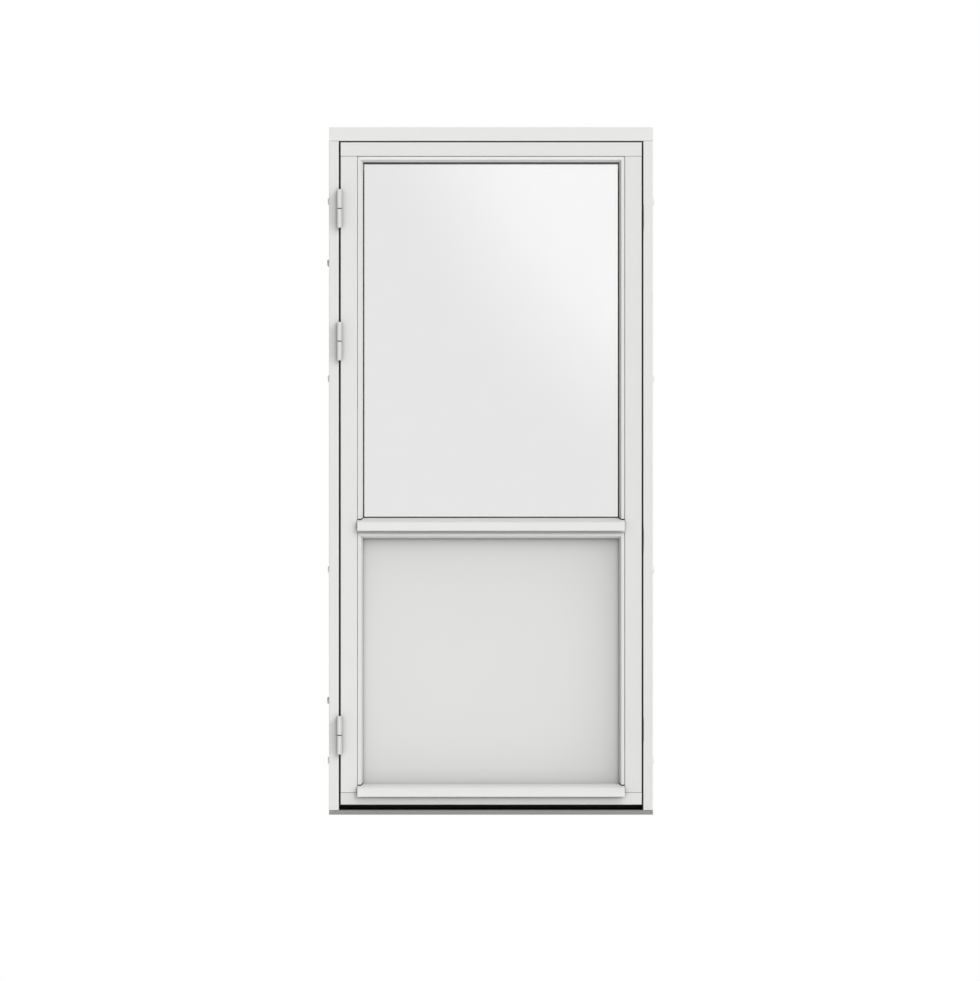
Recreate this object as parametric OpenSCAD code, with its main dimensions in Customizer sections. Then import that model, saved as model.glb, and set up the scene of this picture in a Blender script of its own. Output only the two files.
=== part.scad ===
// Outward opening patio door in its frame: glass above, a flat panel below.
// X runs right as seen from outside, the outside is towards -Y, and Z is up.
// The origin is the middle of the sill's underside, at half the frame's depth.

/* [Frame] */
// Overall width of the frame
frame_w = 980; // [780:10:1180]
// Overall height of the frame, sill included
frame_h = 2080; // [1880:10:2380]
// Depth of the frame from outside to room
frame_d = 115; // [105:1:145]
// Visible width of each jamb
jamb_face = 30; // [26:1:45]
// Visible height of the head
head_face = 42; // [30:1:60]
// Overlap of the stop on the leaf
stop_lap = 10; // [9:0.5:14]
// Rounding of the long outer edges
arris_r = 2; // [1:0.25:3]

/* [Sill] */
// Height of the nosing and of the plate behind it
sill_h = 14; // [12:0.5:20]
// Depth of the aluminium nosing
nosing_d = 8; // [5:0.5:14]
// Chamfer along the nosing's upper edge
nosing_chamfer = 2; // [1:0.25:4]
// Thickness of the upstand that carries the seal
upstand_t = 6; // [4:0.5:10]

/* [Leaf] */
// Thickness of the leaf
leaf_t = 68; // [64:1:76]
// How far the leaf lies behind the front of the frame
leaf_setback = 1; // [0:0.5:3]
// Gap between the leaf and the hinge jamb
hinge_gap = 4.5; // [4:0.25:6]
// Gap between the leaf and the lock jamb
lock_gap = 4; // [4:0.25:6]
// Gap above the leaf
head_gap = 3; // [2.5:0.25:6]
// Gap between the sill plate and the leaf
sill_gap = 16; // [8:0.5:20]
// Gap between the leaf and the stop, filled by the seal
seal_gap = 4; // [3:0.25:6]
// Width of each stile outside its rebate
stile_face = 51; // [48:1:70]
// Height of the top rail outside its rebate
top_rail_face = 43; // [35:1:70]
// Height of the bottom rail at the stiles
bottom_rail_face = 37; // [30:1:90]
// Height of the middle rail between its rebates
mid_rail_face = 23; // [20:1:60]
// Height of the middle rail above the leaf's lower edge
mid_rail_rise = 823; // [600:1:1100]
// Width of the lips that the glass and the panel rest against
lip_w = 19; // [17:0.5:22]

/* [Glazing] */
// Thickness of the glazing beads
bead_t = 12.5; // [11:0.25:14]
// Width of the glazing beads
bead_w = 17; // [17:0.5:20]
// Flat part of the bead's face before its slope
bead_flat = 10.5; // [8:0.5:13]
// Thickness of the bead along its inner edge
bead_edge_t = 4; // [2.5:0.25:6]
// Thickness of each of the three panes
pane_t = 4; // [3:0.5:5]
// Width of the sealed space between two panes
pane_space = 12; // [10:0.5:13]
// Thickness of the rubber in front of the glass
gasket_t = 3; // [2:0.25:4]
// Width of rubber that shows beside the bead
gasket_show = 3.5; // [2:0.25:5]

/* [Drip bead] */
// Height of the drip bead's upper edge above its rebate
drip_rise = 22; // [20:0.5:26]
// Drop of its sloping top
drip_fall = 14; // [6:0.5:16]
// How far its nose stands out in front of the leaf
drip_out = 11.5; // [8:0.5:18]
// Length of its skirt below the rebate
drip_skirt = 17; // [10:0.5:22]
// Wall of the extrusion
drip_wall = 2; // [1.5:0.25:2.5]

/* [Hinges] */
// Radius of the hinge knuckles
knuckle_r = 7.5; // [7:0.25:9]
// Length of one hinge
hinge_len = 116; // [100:1:130]
// Radius of the hinge pins
pin_r = 4; // [3:0.25:4.5]
// Thickness of the hinge plates
hinge_plate_t = 3; // [2.5:0.25:4]
// Distance of the top hinge below the leaf's upper edge
top_hinge_drop = 202; // [120:1:300]
// Distance of the middle hinge below the leaf's upper edge
middle_hinge_drop = 603; // [450:1:900]
// Distance of the bottom hinge above the leaf's lower edge
bottom_hinge_rise = 211; // [120:1:300]

/* [Lock] */
// Width of the lock's face plate
face_plate_w = 20; // [18:1:24]
// Thickness of the lock's face plate
face_plate_t = 2.5; // [2:0.25:3]
// Travel of each bolt
bolt_throw = 12; // [8:0.5:13]
// Travel of the lock rail that drives the bolts
rail_throw = 20; // [14:0.5:24]
// Height of each bolt
bolt_h = 24; // [18:1:30]
// Thickness of each bolt
bolt_t = 9; // [7:0.5:10]
// Height of the strike plates
strike_h = 72; // [60:1:90]
// Distance of the top bolt below the leaf's upper edge
top_bolt_drop = 228; // [150:1:320]
// Distance of the middle bolt below the handle
middle_bolt_drop = 168; // [120:1:300]
// Distance of the bottom bolt above the leaf's lower edge
bottom_bolt_rise = 228; // [150:1:320]

/* [Handle] */
// Height of the handle above the leaf's lower edge
handle_rise = 970; // [940:1:1100]
// Distance of the spindle from the leaf's lock edge
backset = 28; // [26:0.5:32]
// Width across the square spindle
spindle_w = 8; // [7:0.5:9]
// Length of the lever from the spindle
lever_len = 120; // [90:1:140]
// Width of the lever
lever_w = 20; // [16:1:24]
// Length of the handle's rose
rose_len = 68; // [60:1:80]

/* [Fixings] */
// Radius of the fixing sleeves in the jambs
sleeve_r = 11; // [9:0.5:12]
// Radius of the screw hole through each sleeve
sleeve_bore_r = 4.2; // [3:0.1:5]
// How far the plain sleeves stand out of the jamb
sleeve_out = 6; // [2:0.5:10]
// How far the load sleeves stand out of the hinge jamb
load_sleeve_out = 8; // [2:0.5:12]

/* [Hidden] */

$fn = 48;
// Steps in a rounded edge
arc_steps = 6;
// Extra length of every cut
overrun = 2;
// Play around pieces that slide
slide_play = 0.3;
// Play around a pin or a shaft that turns
turn_play = 0.05;
// Play around screws in their holes
screw_play = 0.1;
// Depth of the fine grooves at the wood joints
joint_groove = 0.8;
// Lap of the welded corners of a rubber ring
weld = 0.05;

// Frame outline
frame_x0 = -frame_w / 2;
frame_x1 = frame_w / 2;
frame_y0 = -frame_d / 2;
frame_y1 = frame_d / 2;
head_z = frame_h - head_face;
hinge_rabbet_x = frame_x0 + jamb_face;
lock_rabbet_x = frame_x1 - jamb_face;

// Leaf outline
leaf_x0 = hinge_rabbet_x + hinge_gap;
leaf_x1 = lock_rabbet_x - lock_gap;
leaf_y0 = frame_y0 + leaf_setback;
leaf_y1 = leaf_y0 + leaf_t;
leaf_z0 = sill_h + sill_gap;
leaf_z1 = head_z - head_gap;
leaf_w = leaf_x1 - leaf_x0;

// Stop faces of the frame
stop_y = leaf_y1 + seal_gap;
stop_x0 = leaf_x0 + stop_lap;
stop_x1 = leaf_x1 - stop_lap;
stop_z0 = leaf_z0 + stop_lap;
stop_z1 = leaf_z1 - stop_lap;
upstand_y1 = stop_y + upstand_t;
board_round_r = 8;

// Layers of the glazing, counted from the outside
bead_setback = 1;
bead_gap = 1.1;
tape_t = 3;
bead_y0 = leaf_y0 + bead_setback;
bead_y1 = bead_y0 + bead_t;
glass_y0 = bead_y1 + gasket_t;
glass_y1 = glass_y0 + pane_t;
glass_y2 = glass_y1 + pane_space;
glass_y3 = glass_y2 + pane_t;
glass_y4 = glass_y3 + pane_space;
glass_y5 = glass_y4 + pane_t;
lip_y0 = glass_y5 + tape_t;
lip_chamfer = 3;
pane_margin = 5;
panel_margin = 4;
spacer_w = 7;
tape_w = 10;
tape_margin = 7;
gasket_margin = 8;
block_len = 100;
block_w = 25;
block_end_gap = 90;

// Joints of the leaf's members and the two fields inside them
bottom_rail_lift = 5;
bottom_joint_z = leaf_z0 + bottom_rail_face;
top_joint_z = leaf_z1 - top_rail_face;
mid_z0 = leaf_z0 + mid_rail_rise;
mid_z1 = mid_z0 + mid_rail_face;
field_x0 = leaf_x0 + stile_face;
field_x1 = leaf_x1 - stile_face;
glass_field = [field_x0, mid_z1, field_x1, top_joint_z];
panel_field = [field_x0, bottom_joint_z + bottom_rail_lift, field_x1, mid_z0];

// Drip bead section
drip_lip = 5;
drip_foot = 10.5;
drip_play = 0.3;
drip_back_y = bead_y1 - drip_play;
drip_front_y = leaf_y0 - drip_out;
drip_grade = drip_fall / (drip_back_y - drip_front_y);
cope_gap = 3.4;
pad_play = 0.1;

// Seals
seal_w = 8;
seal_margin = 1;
seal_play = 0.3;
seal_bead = 1.5;
weather_back = 9.5;
weather_y = leaf_y0 + weather_back;
weather_w = 6;
weather_play = 1.1;

// Hinges
knuckle_gap = 0.5;
hinge_x = (hinge_rabbet_x + leaf_x0) / 2;
hinge_y = frame_y0 - knuckle_gap - knuckle_r;
hinge_half = hinge_len / 2;
hinge_reach = 37.5;
hinge_back_y = frame_y0 + hinge_reach;
pin_half = hinge_half - 2 * pin_r;
washer_t = 2.5;
washer_step = 1;
washer_r = knuckle_r - washer_step;
washer_play = 0.2;
knuckle_chamfer = 1;
hinge_zs = [leaf_z1 - top_hinge_drop, leaf_z1 - middle_hinge_drop, leaf_z0 + bottom_hinge_rise];
hinge_screw_shares = [-0.36, 0, 0.36];
hinge_screw_y = (leaf_y0 + hinge_back_y) / 2 + hinge_plate_t;

// Countersunk screws
screw_head_r = 4;
screw_head_h = 2;
screw_r = 2;
screw_len = 25;

// Lock, from the leaf's edge inwards
handle_z = leaf_z0 + handle_rise;
lock_depth = 34.5;
lock_y = leaf_y0 + lock_depth;
face_plate_y0 = lock_y - face_plate_w / 2;
face_plate_y1 = lock_y + face_plate_w / 2;
face_plate_x = leaf_x1 - face_plate_t;
plate_margin = 53;
bolt_zs = [leaf_z1 - top_bolt_drop, handle_z - middle_bolt_drop, leaf_z0 + bottom_bolt_rise];
plate_z0 = bolt_zs[2] - plate_margin;
plate_z1 = bolt_zs[0] + plate_margin;
rail_t = 3;
rail_w = 12;
rail_edge_gap = 2;
rail_y0 = face_plate_y0 + rail_edge_gap;
rail_y1 = rail_y0 + rail_t;
rail_x1 = face_plate_x - slide_play;
rail_x0 = rail_x1 - rail_w;
rail_margin = 24;
rail_z0 = bolt_zs[2] - plate_margin + rail_margin;
rail_z1 = bolt_zs[0] + rail_margin;
follower_pin_r = 2.5;
tab_wall = 4.5;
tab_x0 = rail_x1 - bolt_throw - 2 * (follower_pin_r + tab_wall);
pin_x = tab_x0 + tab_wall + follower_pin_r;
tab_down = rail_throw + follower_pin_r + tab_wall;
tab_up = follower_pin_r + tab_wall;
bolt_y0 = rail_y1 + slide_play;
bolt_y1 = bolt_y0 + bolt_t;
bolt_x0 = tab_x0;
bolt_sink = 0.5;
bolt_x1 = leaf_x1 - bolt_sink;
bolt_nose = 2;
screw_wall = 4;
screw_room = screw_head_r + screw_wall;
case_h = 120;
plate_screw_zs = [
    bolt_zs[2] - bolt_h / 2 - screw_room,
    (bolt_zs[2] + bolt_zs[1]) / 2,
    handle_z - case_h / 2 - screw_room,
    handle_z + case_h / 2 + screw_room,
    (handle_z + bolt_zs[0]) / 2,
    bolt_zs[0] + bolt_h / 2 + screw_room];

// Lock case, follower and handle
case_wall = 6;
case_x0 = field_x1 + case_wall;
case_x1 = rail_x0 - slide_play;
spindle_x = leaf_x1 - backset;
hub_r = 9;
hub_play = 0.3;
spindle_play = 0.15;
spindle_hole_r = 7;
rose_t = 8.5;
rose_w = 28;
rose_y1 = leaf_y1 + rose_t;
neck_r = 9;
neck_root = 1.5;
neck_len = 30;
lever_t = 11;
lever_tip_w = 15;
lever_tip_t = 8;
lever_tip_round = 4;
lever_y0 = rose_y1 + neck_len - lever_t;
lever_y1 = rose_y1 + neck_len;
lever_socket = 20;
rose_screw_share = 0.36;

// Strike plates in the lock jamb
strike_t = 1.5;
strike_sink = 1;
strike_x0 = lock_rabbet_x + strike_sink;
strike_x1 = strike_x0 + strike_t;
strike_front_gap = 5.5;
strike_y0 = frame_y0 + strike_front_gap;
strike_y1 = face_plate_y1 + strike_t;
strike_hole_play = 1.5;
strike_pocket_end = 4;
strike_pocket_x = leaf_x1 + bolt_throw + strike_pocket_end;
strike_screw_share = 0.38;

// Fixing sleeves
sleeve_y = 0;
sleeve_shares = [0.077, 0.356, 0.635, 0.894];
load_shares = [0.1645, 0.804];
sleeve_chamfer = 1;
sleeve_sink = 0.5;
sleeve_play = 0.1;
socket_r = 6.5;
socket_depth = 10;

white_paint = [0.92, 0.92, 0.90];
black_rubber = [0.05, 0.05, 0.05];
mill_aluminium = [0.60, 0.60, 0.60];
zinc = [0.72, 0.72, 0.73];
glass_tint = [0.85, 0.92, 0.93, 0.4];

// Points of a round edge about a centre, from one angle to another
function arc(c, r, a, b) = [for (i = [0:arc_steps])
    c + r * [cos(a + (b - a) * i / arc_steps), sin(a + (b - a) * i / arc_steps)]];

// Outline of a bar with round ends, upright in X and Z
function slot_outline(w, top, bottom) = concat(
    arc([0, top - w / 2], w / 2, 0, 180), arc([0, bottom + w / 2], w / 2, 180, 360));

// Box between two corners
module block(a, b) {
    translate(a) cube(b - a);
}

// Section in Y and Z run along X
module run_x(length, section) {
    rotate([90, 0, 90]) linear_extrude(height = length) polygon(section);
}

// Outline in X and Z run along Y
module run_y(y0, y1, outline) {
    translate([0, y1, 0]) rotate([90, 0, 0]) linear_extrude(height = y1 - y0) polygon(outline);
}

// Section in X and Y run along Z
module run_z(z0, z1, section) {
    translate([0, 0, z0]) linear_extrude(height = z1 - z0) polygon(section);
}

// Round bar along Y
module rod_y(x, z, y0, y1, r) {
    translate([x, y0, z]) rotate([-90, 0, 0]) cylinder(h = y1 - y0, r = r);
}

// Puts a bar that runs along X on one side of a field: 0 bottom, 1 right, 2 top, 3 left
module on_side(field, side) {
    x = side == 1 || side == 2 ? field[2] : field[0];
    z = side == 2 || side == 3 ? field[3] : field[1];
    translate([x, 0, z]) rotate([0, -90 * side, 0]) children();
}

// Length of one side of a field
function side_len(field, side) = side % 2 == 0 ? field[2] - field[0] : field[3] - field[1];

// Bar along a field's side, cut to a mitre at the ends that ask for one, with some lap past the mitre
module mitred_bar(length, section, start = 1, end = 1, lap = 0) {
    w = max([for (p = section) p[1]]);
    low = min([for (p = section) p[1]]);
    root = min(low, 0);
    y0 = min([for (p = section) p[0]]);
    y1 = max([for (p = section) p[0]]);
    intersection() {
        run_x(length, section);
        run_y(y0 - overrun, y1 + overrun, [[-lap, root - overrun], [length + lap, root - overrun],
            [length + lap, 0], [length + lap - end * w, w], [start * w - lap, w], [-lap, 0]]);
    }
}

// Ring of one section around a field, welded at its mitres
module ring(field, section) {
    for (side = [0:3]) on_side(field, side) mitred_bar(side_len(field, side), section, lap = weld);
}

// Rectangle inside a field, at one distance from its edges
module inset_block(field, margin, y0, y1) {
    block([field[0] + margin, y0, field[1] + margin], [field[2] - margin, y1, field[3] - margin]);
}

// Flat ring between two distances from a field's edges
module flat_ring(field, from, to, y0, y1) {
    difference() {
        inset_block(field, from, y0, y1);
        inset_block(field, to, y0 - overrun, y1 + overrun);
    }
}

// Fine groove across the front of a wood joint at one height
module groove(x0, x1, y, z) {
    side = joint_groove * sqrt(2);
    translate([x0, y, z]) rotate([45, 0, 0]) translate([0, -side / 2, -side / 2]) cube([x1 - x0, side, side]);
}

// Countersunk screw that points along -Z, with its head's face at zero
module screw(grow = 0, above = 0) {
    rotate_extrude() polygon([[0, above], [screw_head_r + grow, above], [screw_head_r + grow, 0],
        [screw_r + grow, -screw_head_h], [screw_r + grow, -screw_len - grow], [0, -screw_len - grow]]);
}

// Places of the screws in each hinge plate, as heights
hinge_screw_zs = [for (z = hinge_zs, s = hinge_screw_shares) z + s * hinge_len];

module leaf_hinge_screw_set(grow = 0, above = 0) {
    for (z = hinge_screw_zs)
        translate([leaf_x0, hinge_screw_y, z]) rotate([0, -90, 0]) screw(grow, above);
}

module frame_hinge_screw_set(grow = 0, above = 0) {
    for (z = hinge_screw_zs)
        translate([hinge_rabbet_x, hinge_screw_y, z]) rotate([0, 90, 0]) screw(grow, above);
}

module face_plate_screw_set(grow = 0, above = 0) {
    for (z = plate_screw_zs) translate([leaf_x1, lock_y, z]) rotate([0, 90, 0]) screw(grow, above);
}

module strike_screw_set(grow = 0, above = 0) {
    for (z = bolt_zs, s = [-strike_screw_share, strike_screw_share])
        translate([strike_x0, lock_y, z + s * strike_h]) rotate([0, -90, 0]) screw(grow, above);
}

module rose_screw_set(grow = 0, above = 0) {
    for (s = [-rose_screw_share, rose_screw_share])
        translate([spindle_x, rose_y1, handle_z + s * rose_len]) rotate([-90, 0, 0]) screw(grow, above);
}

// Half of a jamb's section, with X counted inwards from the frame's side
function jamb_section(stop_w) = concat(
    arc([arris_r, frame_y0 + arris_r], arris_r, 180, 270),
    arc([jamb_face - arris_r, frame_y0 + arris_r], arris_r, 270, 360),
    [[jamb_face, stop_y], [stop_w, stop_y]],
    arc([stop_w - arris_r, frame_y1 - arris_r], arris_r, 0, 90),
    [[0, frame_y1]]);

// Jamb standing on the sill and under the head, before its fittings are cut in
module jamb_bar(stop_w) {
    difference() {
        run_z(sill_h, head_z, jamb_section(stop_w));
        block([-overrun, stop_y, 0], [stop_w + overrun, frame_y1 + overrun, stop_z0]);
        block([-overrun, stop_y, stop_z1], [stop_w + overrun, frame_y1 + overrun, frame_h]);
        groove(-overrun, jamb_face + overrun, frame_y0, head_z);
    }
}

// Places the sleeves of one jamb, with Z pointing out of the frame's side
module at_sleeves(side_x, turn, shares) {
    for (s = shares) translate([side_x, sleeve_y, s * frame_h]) rotate([0, turn, 0]) children();
}

module sleeve_hole() {
    translate([0, 0, -jamb_face - overrun]) cylinder(h = jamb_face + 2 * overrun, r = sleeve_r + sleeve_play);
}

// Threaded sleeve with a screw hole and a hexagon socket at its inner end
module sleeve(out) {
    length = jamb_face - sleeve_sink + out;
    translate([0, 0, sleeve_sink - jamb_face]) difference() {
        rotate_extrude() polygon([[sleeve_bore_r, 0], [sleeve_r, 0], [sleeve_r, length - sleeve_chamfer],
            [sleeve_r - sleeve_chamfer, length], [sleeve_bore_r, length]]);
        translate([0, 0, -overrun]) cylinder(h = socket_depth + overrun, r = socket_r, $fn = 6);
    }
}

module frame_head() {
    front_r = arris_r;
    color(white_paint) difference() {
        translate([frame_x0, 0, 0]) run_x(frame_w, concat(
            arc([frame_y0 + front_r, frame_h - front_r], front_r, 90, 180),
            arc([frame_y0 + front_r, head_z + front_r], front_r, 180, 270),
            [[stop_y, head_z], [stop_y, stop_z1]],
            arc([frame_y1 - front_r, stop_z1 + front_r], front_r, -90, 0),
            [[frame_y1, frame_h]]));
        groove(frame_x0 - overrun, hinge_rabbet_x, frame_y0, head_z);
        groove(lock_rabbet_x, frame_x1 + overrun, frame_y0, head_z);
    }
}

module hinge_jamb() {
    color(white_paint) difference() {
        translate([frame_x0, 0, 0]) jamb_bar(stop_x0 - frame_x0);
        for (z = hinge_zs)
            block([hinge_rabbet_x - hinge_plate_t, frame_y0 - overrun, z - hinge_half],
                [hinge_rabbet_x + overrun, hinge_back_y, z + hinge_half]);
        frame_hinge_screw_set(screw_play);
        at_sleeves(frame_x0, -90, concat(sleeve_shares, load_shares)) sleeve_hole();
    }
}

module lock_jamb() {
    color(white_paint) difference() {
        translate([frame_x1, 0, 0]) mirror([1, 0, 0]) jamb_bar(frame_x1 - stop_x1);
        for (z = bolt_zs) {
            block([lock_rabbet_x - overrun, frame_y0 - overrun, z - strike_h / 2],
                [strike_x1, strike_y1, z + strike_h / 2]);
            block([lock_rabbet_x, bolt_y0 - strike_hole_play, z - bolt_h / 2 - strike_hole_play],
                [strike_pocket_x, bolt_y1 + strike_hole_play, z + bolt_h / 2 + strike_hole_play]);
        }
        strike_screw_set(screw_play);
        at_sleeves(frame_x1, 90, sleeve_shares) sleeve_hole();
    }
}

// Composite plate with the upstand that the lower seal sits on
module sill_base() {
    nosing_y1 = frame_y0 + nosing_d;
    color(black_rubber) translate([frame_x0, 0, 0]) run_x(frame_w, [[nosing_y1, 0], [upstand_y1, 0],
        [upstand_y1, stop_z0], [stop_y, stop_z0], [stop_y, sill_h], [nosing_y1, sill_h]]);
}

module sill_nosing() {
    nosing_y1 = frame_y0 + nosing_d;
    color(mill_aluminium) translate([frame_x0, 0, 0]) run_x(frame_w, [[frame_y0, 0], [nosing_y1, 0],
        [nosing_y1, sill_h], [frame_y0 + nosing_chamfer, sill_h], [frame_y0, sill_h - nosing_chamfer]]);
}

module sill_board() {
    color("burlywood") translate([frame_x0, 0, 0]) run_x(frame_w, concat(
        [[upstand_y1, 0], [frame_y1, 0]],
        arc([frame_y1 - board_round_r, stop_z0 - board_round_r], board_round_r, 0, 90),
        [[upstand_y1, stop_z0]]));
}

// Bulb seal around the stop, mitred at the corners
module frame_seal() {
    y0 = leaf_y1 + seal_play;
    mid = seal_margin + seal_w / 2;
    color(black_rubber) ring([leaf_x0, leaf_z0, leaf_x1, leaf_z1], [[stop_y, seal_margin],
        [stop_y, seal_margin + seal_w], [y0 + seal_bead, seal_margin + seal_w], [y0, mid + seal_bead],
        [y0, mid - seal_bead], [y0 + seal_bead, seal_margin]]);
}

module fixing_sleeves() {
    color("white") {
        at_sleeves(frame_x0, -90, sleeve_shares) sleeve(sleeve_out);
        at_sleeves(frame_x1, 90, sleeve_shares) sleeve(sleeve_out);
    }
}

module load_sleeves() {
    color(zinc) at_sleeves(frame_x0, -90, load_shares) sleeve(load_sleeve_out);
}

module strike_plates() {
    color(zinc) difference() {
        for (z = bolt_zs)
            block([strike_x0, strike_y0, z - strike_h / 2], [strike_x1, strike_y1, z + strike_h / 2]);
        for (z = bolt_zs)
            block([strike_x0 - overrun, bolt_y0 - strike_hole_play, z - bolt_h / 2 - strike_hole_play],
                [strike_x1 + overrun, bolt_y1 + strike_hole_play, z + bolt_h / 2 + strike_hole_play]);
        strike_screw_set(screw_play, overrun);
    }
}

module strike_screws() {
    color(zinc) strike_screw_set();
}

// Turned half of a knuckle, standing on zero and closed at its far end
module knuckle() {
    gap = washer_t / 2 + washer_play;
    length = hinge_half - gap;
    translate([0, 0, gap]) rotate_extrude() polygon([[0, 0], [knuckle_r, 0], [knuckle_r, length - knuckle_chamfer],
        [knuckle_r - knuckle_chamfer, length], [0, length]]);
}

module pin_bore(z) {
    translate([hinge_x, hinge_y, z - pin_half]) cylinder(h = 2 * pin_half, r = pin_r + turn_play);
}

// Lower half of a hinge, let into the jamb
module frame_hinge(z) {
    gap = washer_t / 2 + washer_play;
    x0 = hinge_rabbet_x - hinge_plate_t;
    color(white_paint) difference() {
        union() {
            translate([hinge_x, hinge_y, z]) mirror([0, 0, 1]) knuckle();
            block([x0, frame_y0, z - hinge_half], [hinge_rabbet_x, hinge_back_y, z + hinge_half]);
            block([x0, hinge_y, z - hinge_half + knuckle_chamfer], [hinge_rabbet_x, frame_y0 + overrun, z - gap]);
        }
        pin_bore(z);
        frame_hinge_screw_set(screw_play, overrun);
    }
}

// Upper half of a hinge, let into the stile
module leaf_hinge(z) {
    gap = washer_t / 2 + washer_play;
    x1 = leaf_x0 + hinge_plate_t;
    color(white_paint) difference() {
        union() {
            translate([hinge_x, hinge_y, z]) knuckle();
            block([leaf_x0, leaf_y0, z - hinge_half], [x1, hinge_back_y, z + hinge_half]);
            block([leaf_x0, hinge_y, z + gap], [x1, leaf_y0 + overrun, z + hinge_half - knuckle_chamfer]);
        }
        pin_bore(z);
        leaf_hinge_screw_set(screw_play, overrun);
    }
}

module hinge_pins() {
    color(zinc) for (z = hinge_zs) translate([hinge_x, hinge_y, z - pin_half])
        cylinder(h = 2 * pin_half - slide_play, r = pin_r);
}

module hinge_washers() {
    color(black_rubber) for (z = hinge_zs) translate([hinge_x, hinge_y, z - washer_t / 2]) difference() {
        cylinder(h = washer_t, r = washer_r);
        translate([0, 0, -overrun]) cylinder(h = washer_t + 2 * overrun, r = pin_r + turn_play);
    }
}

module frame_hinge_screws() {
    color(zinc) frame_hinge_screw_set();
}

// Lip behind the glass or the panel on one side of a field
module lip(field, side) {
    on_side(field, side) mitred_bar(side_len(field, side), [[lip_y0, -overrun], [leaf_y1, -overrun],
        [leaf_y1, lip_w - lip_chamfer], [leaf_y1 - lip_chamfer, lip_w], [lip_y0, lip_w]]);
}

// Stile between the rails, with both its front edges rounded
module stile_bar(x0, x1) {
    run_z(bottom_joint_z, top_joint_z, concat(
        arc([x0 + arris_r, leaf_y0 + arris_r], arris_r, 180, 270),
        arc([x1 - arris_r, leaf_y0 + arris_r], arris_r, 270, 360), [[x1, leaf_y1], [x0, leaf_y1]]));
}

module leaf_joint_grooves() {
    for (z = [bottom_joint_z, top_joint_z]) groove(leaf_x0 - overrun, leaf_x1 + overrun, leaf_y0, z);
}

module hinge_stile() {
    color(white_paint) difference() {
        union() {
            stile_bar(leaf_x0, field_x0);
            lip(glass_field, 3);
            lip(panel_field, 3);
        }
        leaf_joint_grooves();
        for (z = hinge_zs)
            block([leaf_x0 - overrun, leaf_y0 - overrun, z - hinge_half],
                [leaf_x0 + hinge_plate_t, hinge_back_y, z + hinge_half]);
        leaf_hinge_screw_set(screw_play);
    }
}

module lock_stile() {
    color(white_paint) difference() {
        union() {
            stile_bar(field_x1, leaf_x1);
            lip(glass_field, 1);
            lip(panel_field, 1);
        }
        leaf_joint_grooves();
        block([face_plate_x, face_plate_y0, plate_z0], [leaf_x1 + overrun, face_plate_y1, plate_z1]);
        block([rail_x0 - slide_play, rail_y0 - slide_play, rail_z0 - slide_play],
            [leaf_x1, rail_y1 + slide_play, rail_z1 + rail_throw + slide_play]);
        for (z = bolt_zs) {
            block([tab_x0 - slide_play, rail_y0 - 2 * slide_play, z - tab_down - slide_play],
                [leaf_x1, rail_y1 + slide_play, z + tab_up + rail_throw + slide_play]);
            block([bolt_x0 - slide_play, rail_y1, z - bolt_h / 2 - slide_play],
                [leaf_x1, bolt_y1 + slide_play, z + bolt_h / 2 + slide_play]);
        }
        block([case_x0, face_plate_y0, handle_z - case_h / 2], [leaf_x1, face_plate_y1, handle_z + case_h / 2]);
        rod_y(spindle_x, handle_z, lock_y, leaf_y1 + overrun, spindle_hole_r);
        face_plate_screw_set(screw_play);
        rose_screw_set(screw_play);
    }
}

// Rail across the leaf with its front edges rounded
module rail_bar(x0, x1, z0, z1) {
    translate([x0, 0, 0]) run_x(x1 - x0, concat(
        arc([leaf_y0 + arris_r, z1 - arris_r], arris_r, 90, 180),
        arc([leaf_y0 + arris_r, z0 + arris_r], arris_r, 180, 270), [[leaf_y1, z0], [leaf_y1, z1]]));
}

// Rail that carries a groove line instead of a round edge at its joint with the stiles
module end_rail(z0, z1, round_z) {
    centre = round_z == z1 ? z1 - arris_r : z0 + arris_r;
    top = round_z == z1 ? arc([leaf_y0 + arris_r, centre], arris_r, 90, 180) : [[leaf_y0, z1]];
    bottom = round_z == z0 ? arc([leaf_y0 + arris_r, centre], arris_r, 180, 270) : [[leaf_y0, z0]];
    translate([leaf_x0, 0, 0]) run_x(leaf_w, concat(top, bottom, [[leaf_y1, z0], [leaf_y1, z1]]));
}

module top_rail() {
    color(white_paint) difference() {
        union() {
            end_rail(top_joint_z, leaf_z1, leaf_z1);
            lip(glass_field, 2);
        }
        leaf_joint_grooves();
    }
}

module mid_rail() {
    color(white_paint) union() {
        rail_bar(field_x0, field_x1, mid_z0, mid_z1);
        lip(glass_field, 0);
        lip(panel_field, 2);
    }
}

module bottom_rail() {
    color(white_paint) difference() {
        union() {
            end_rail(leaf_z0, bottom_joint_z, leaf_z0);
            block([field_x0, leaf_y0 + joint_groove, bottom_joint_z - overrun],
                [field_x1, leaf_y1, bottom_joint_z + bottom_rail_lift]);
            lip(panel_field, 0);
        }
        leaf_joint_grooves();
    }
}

// Rubber strips on the leaf's edges that close the gap to the frame
module leaf_weather_seal() {
    y1 = weather_y + weather_w;
    side_x0 = leaf_x0 - hinge_gap + weather_play;
    side_x1 = leaf_x1 + lock_gap - weather_play;
    top_z = leaf_z1 + head_gap - weather_play;
    color(black_rubber) union() {
        block([side_x0, weather_y, leaf_z0], [leaf_x0, y1, top_z]);
        block([leaf_x1, weather_y, leaf_z0], [side_x1, y1, top_z]);
        block([leaf_x0, weather_y, leaf_z1], [leaf_x1, y1, top_z]);
    }
}

// One sheet of the sealed glass unit
module pane(y0, y1) {
    color(glass_tint) inset_block(glass_field, pane_margin, y0, y1);
}

// Frame of tube between two sheets of glass
module spacer(y0, y1) {
    color(zinc) flat_ring(glass_field, pane_margin, pane_margin + spacer_w, y0, y1);
}

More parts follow.
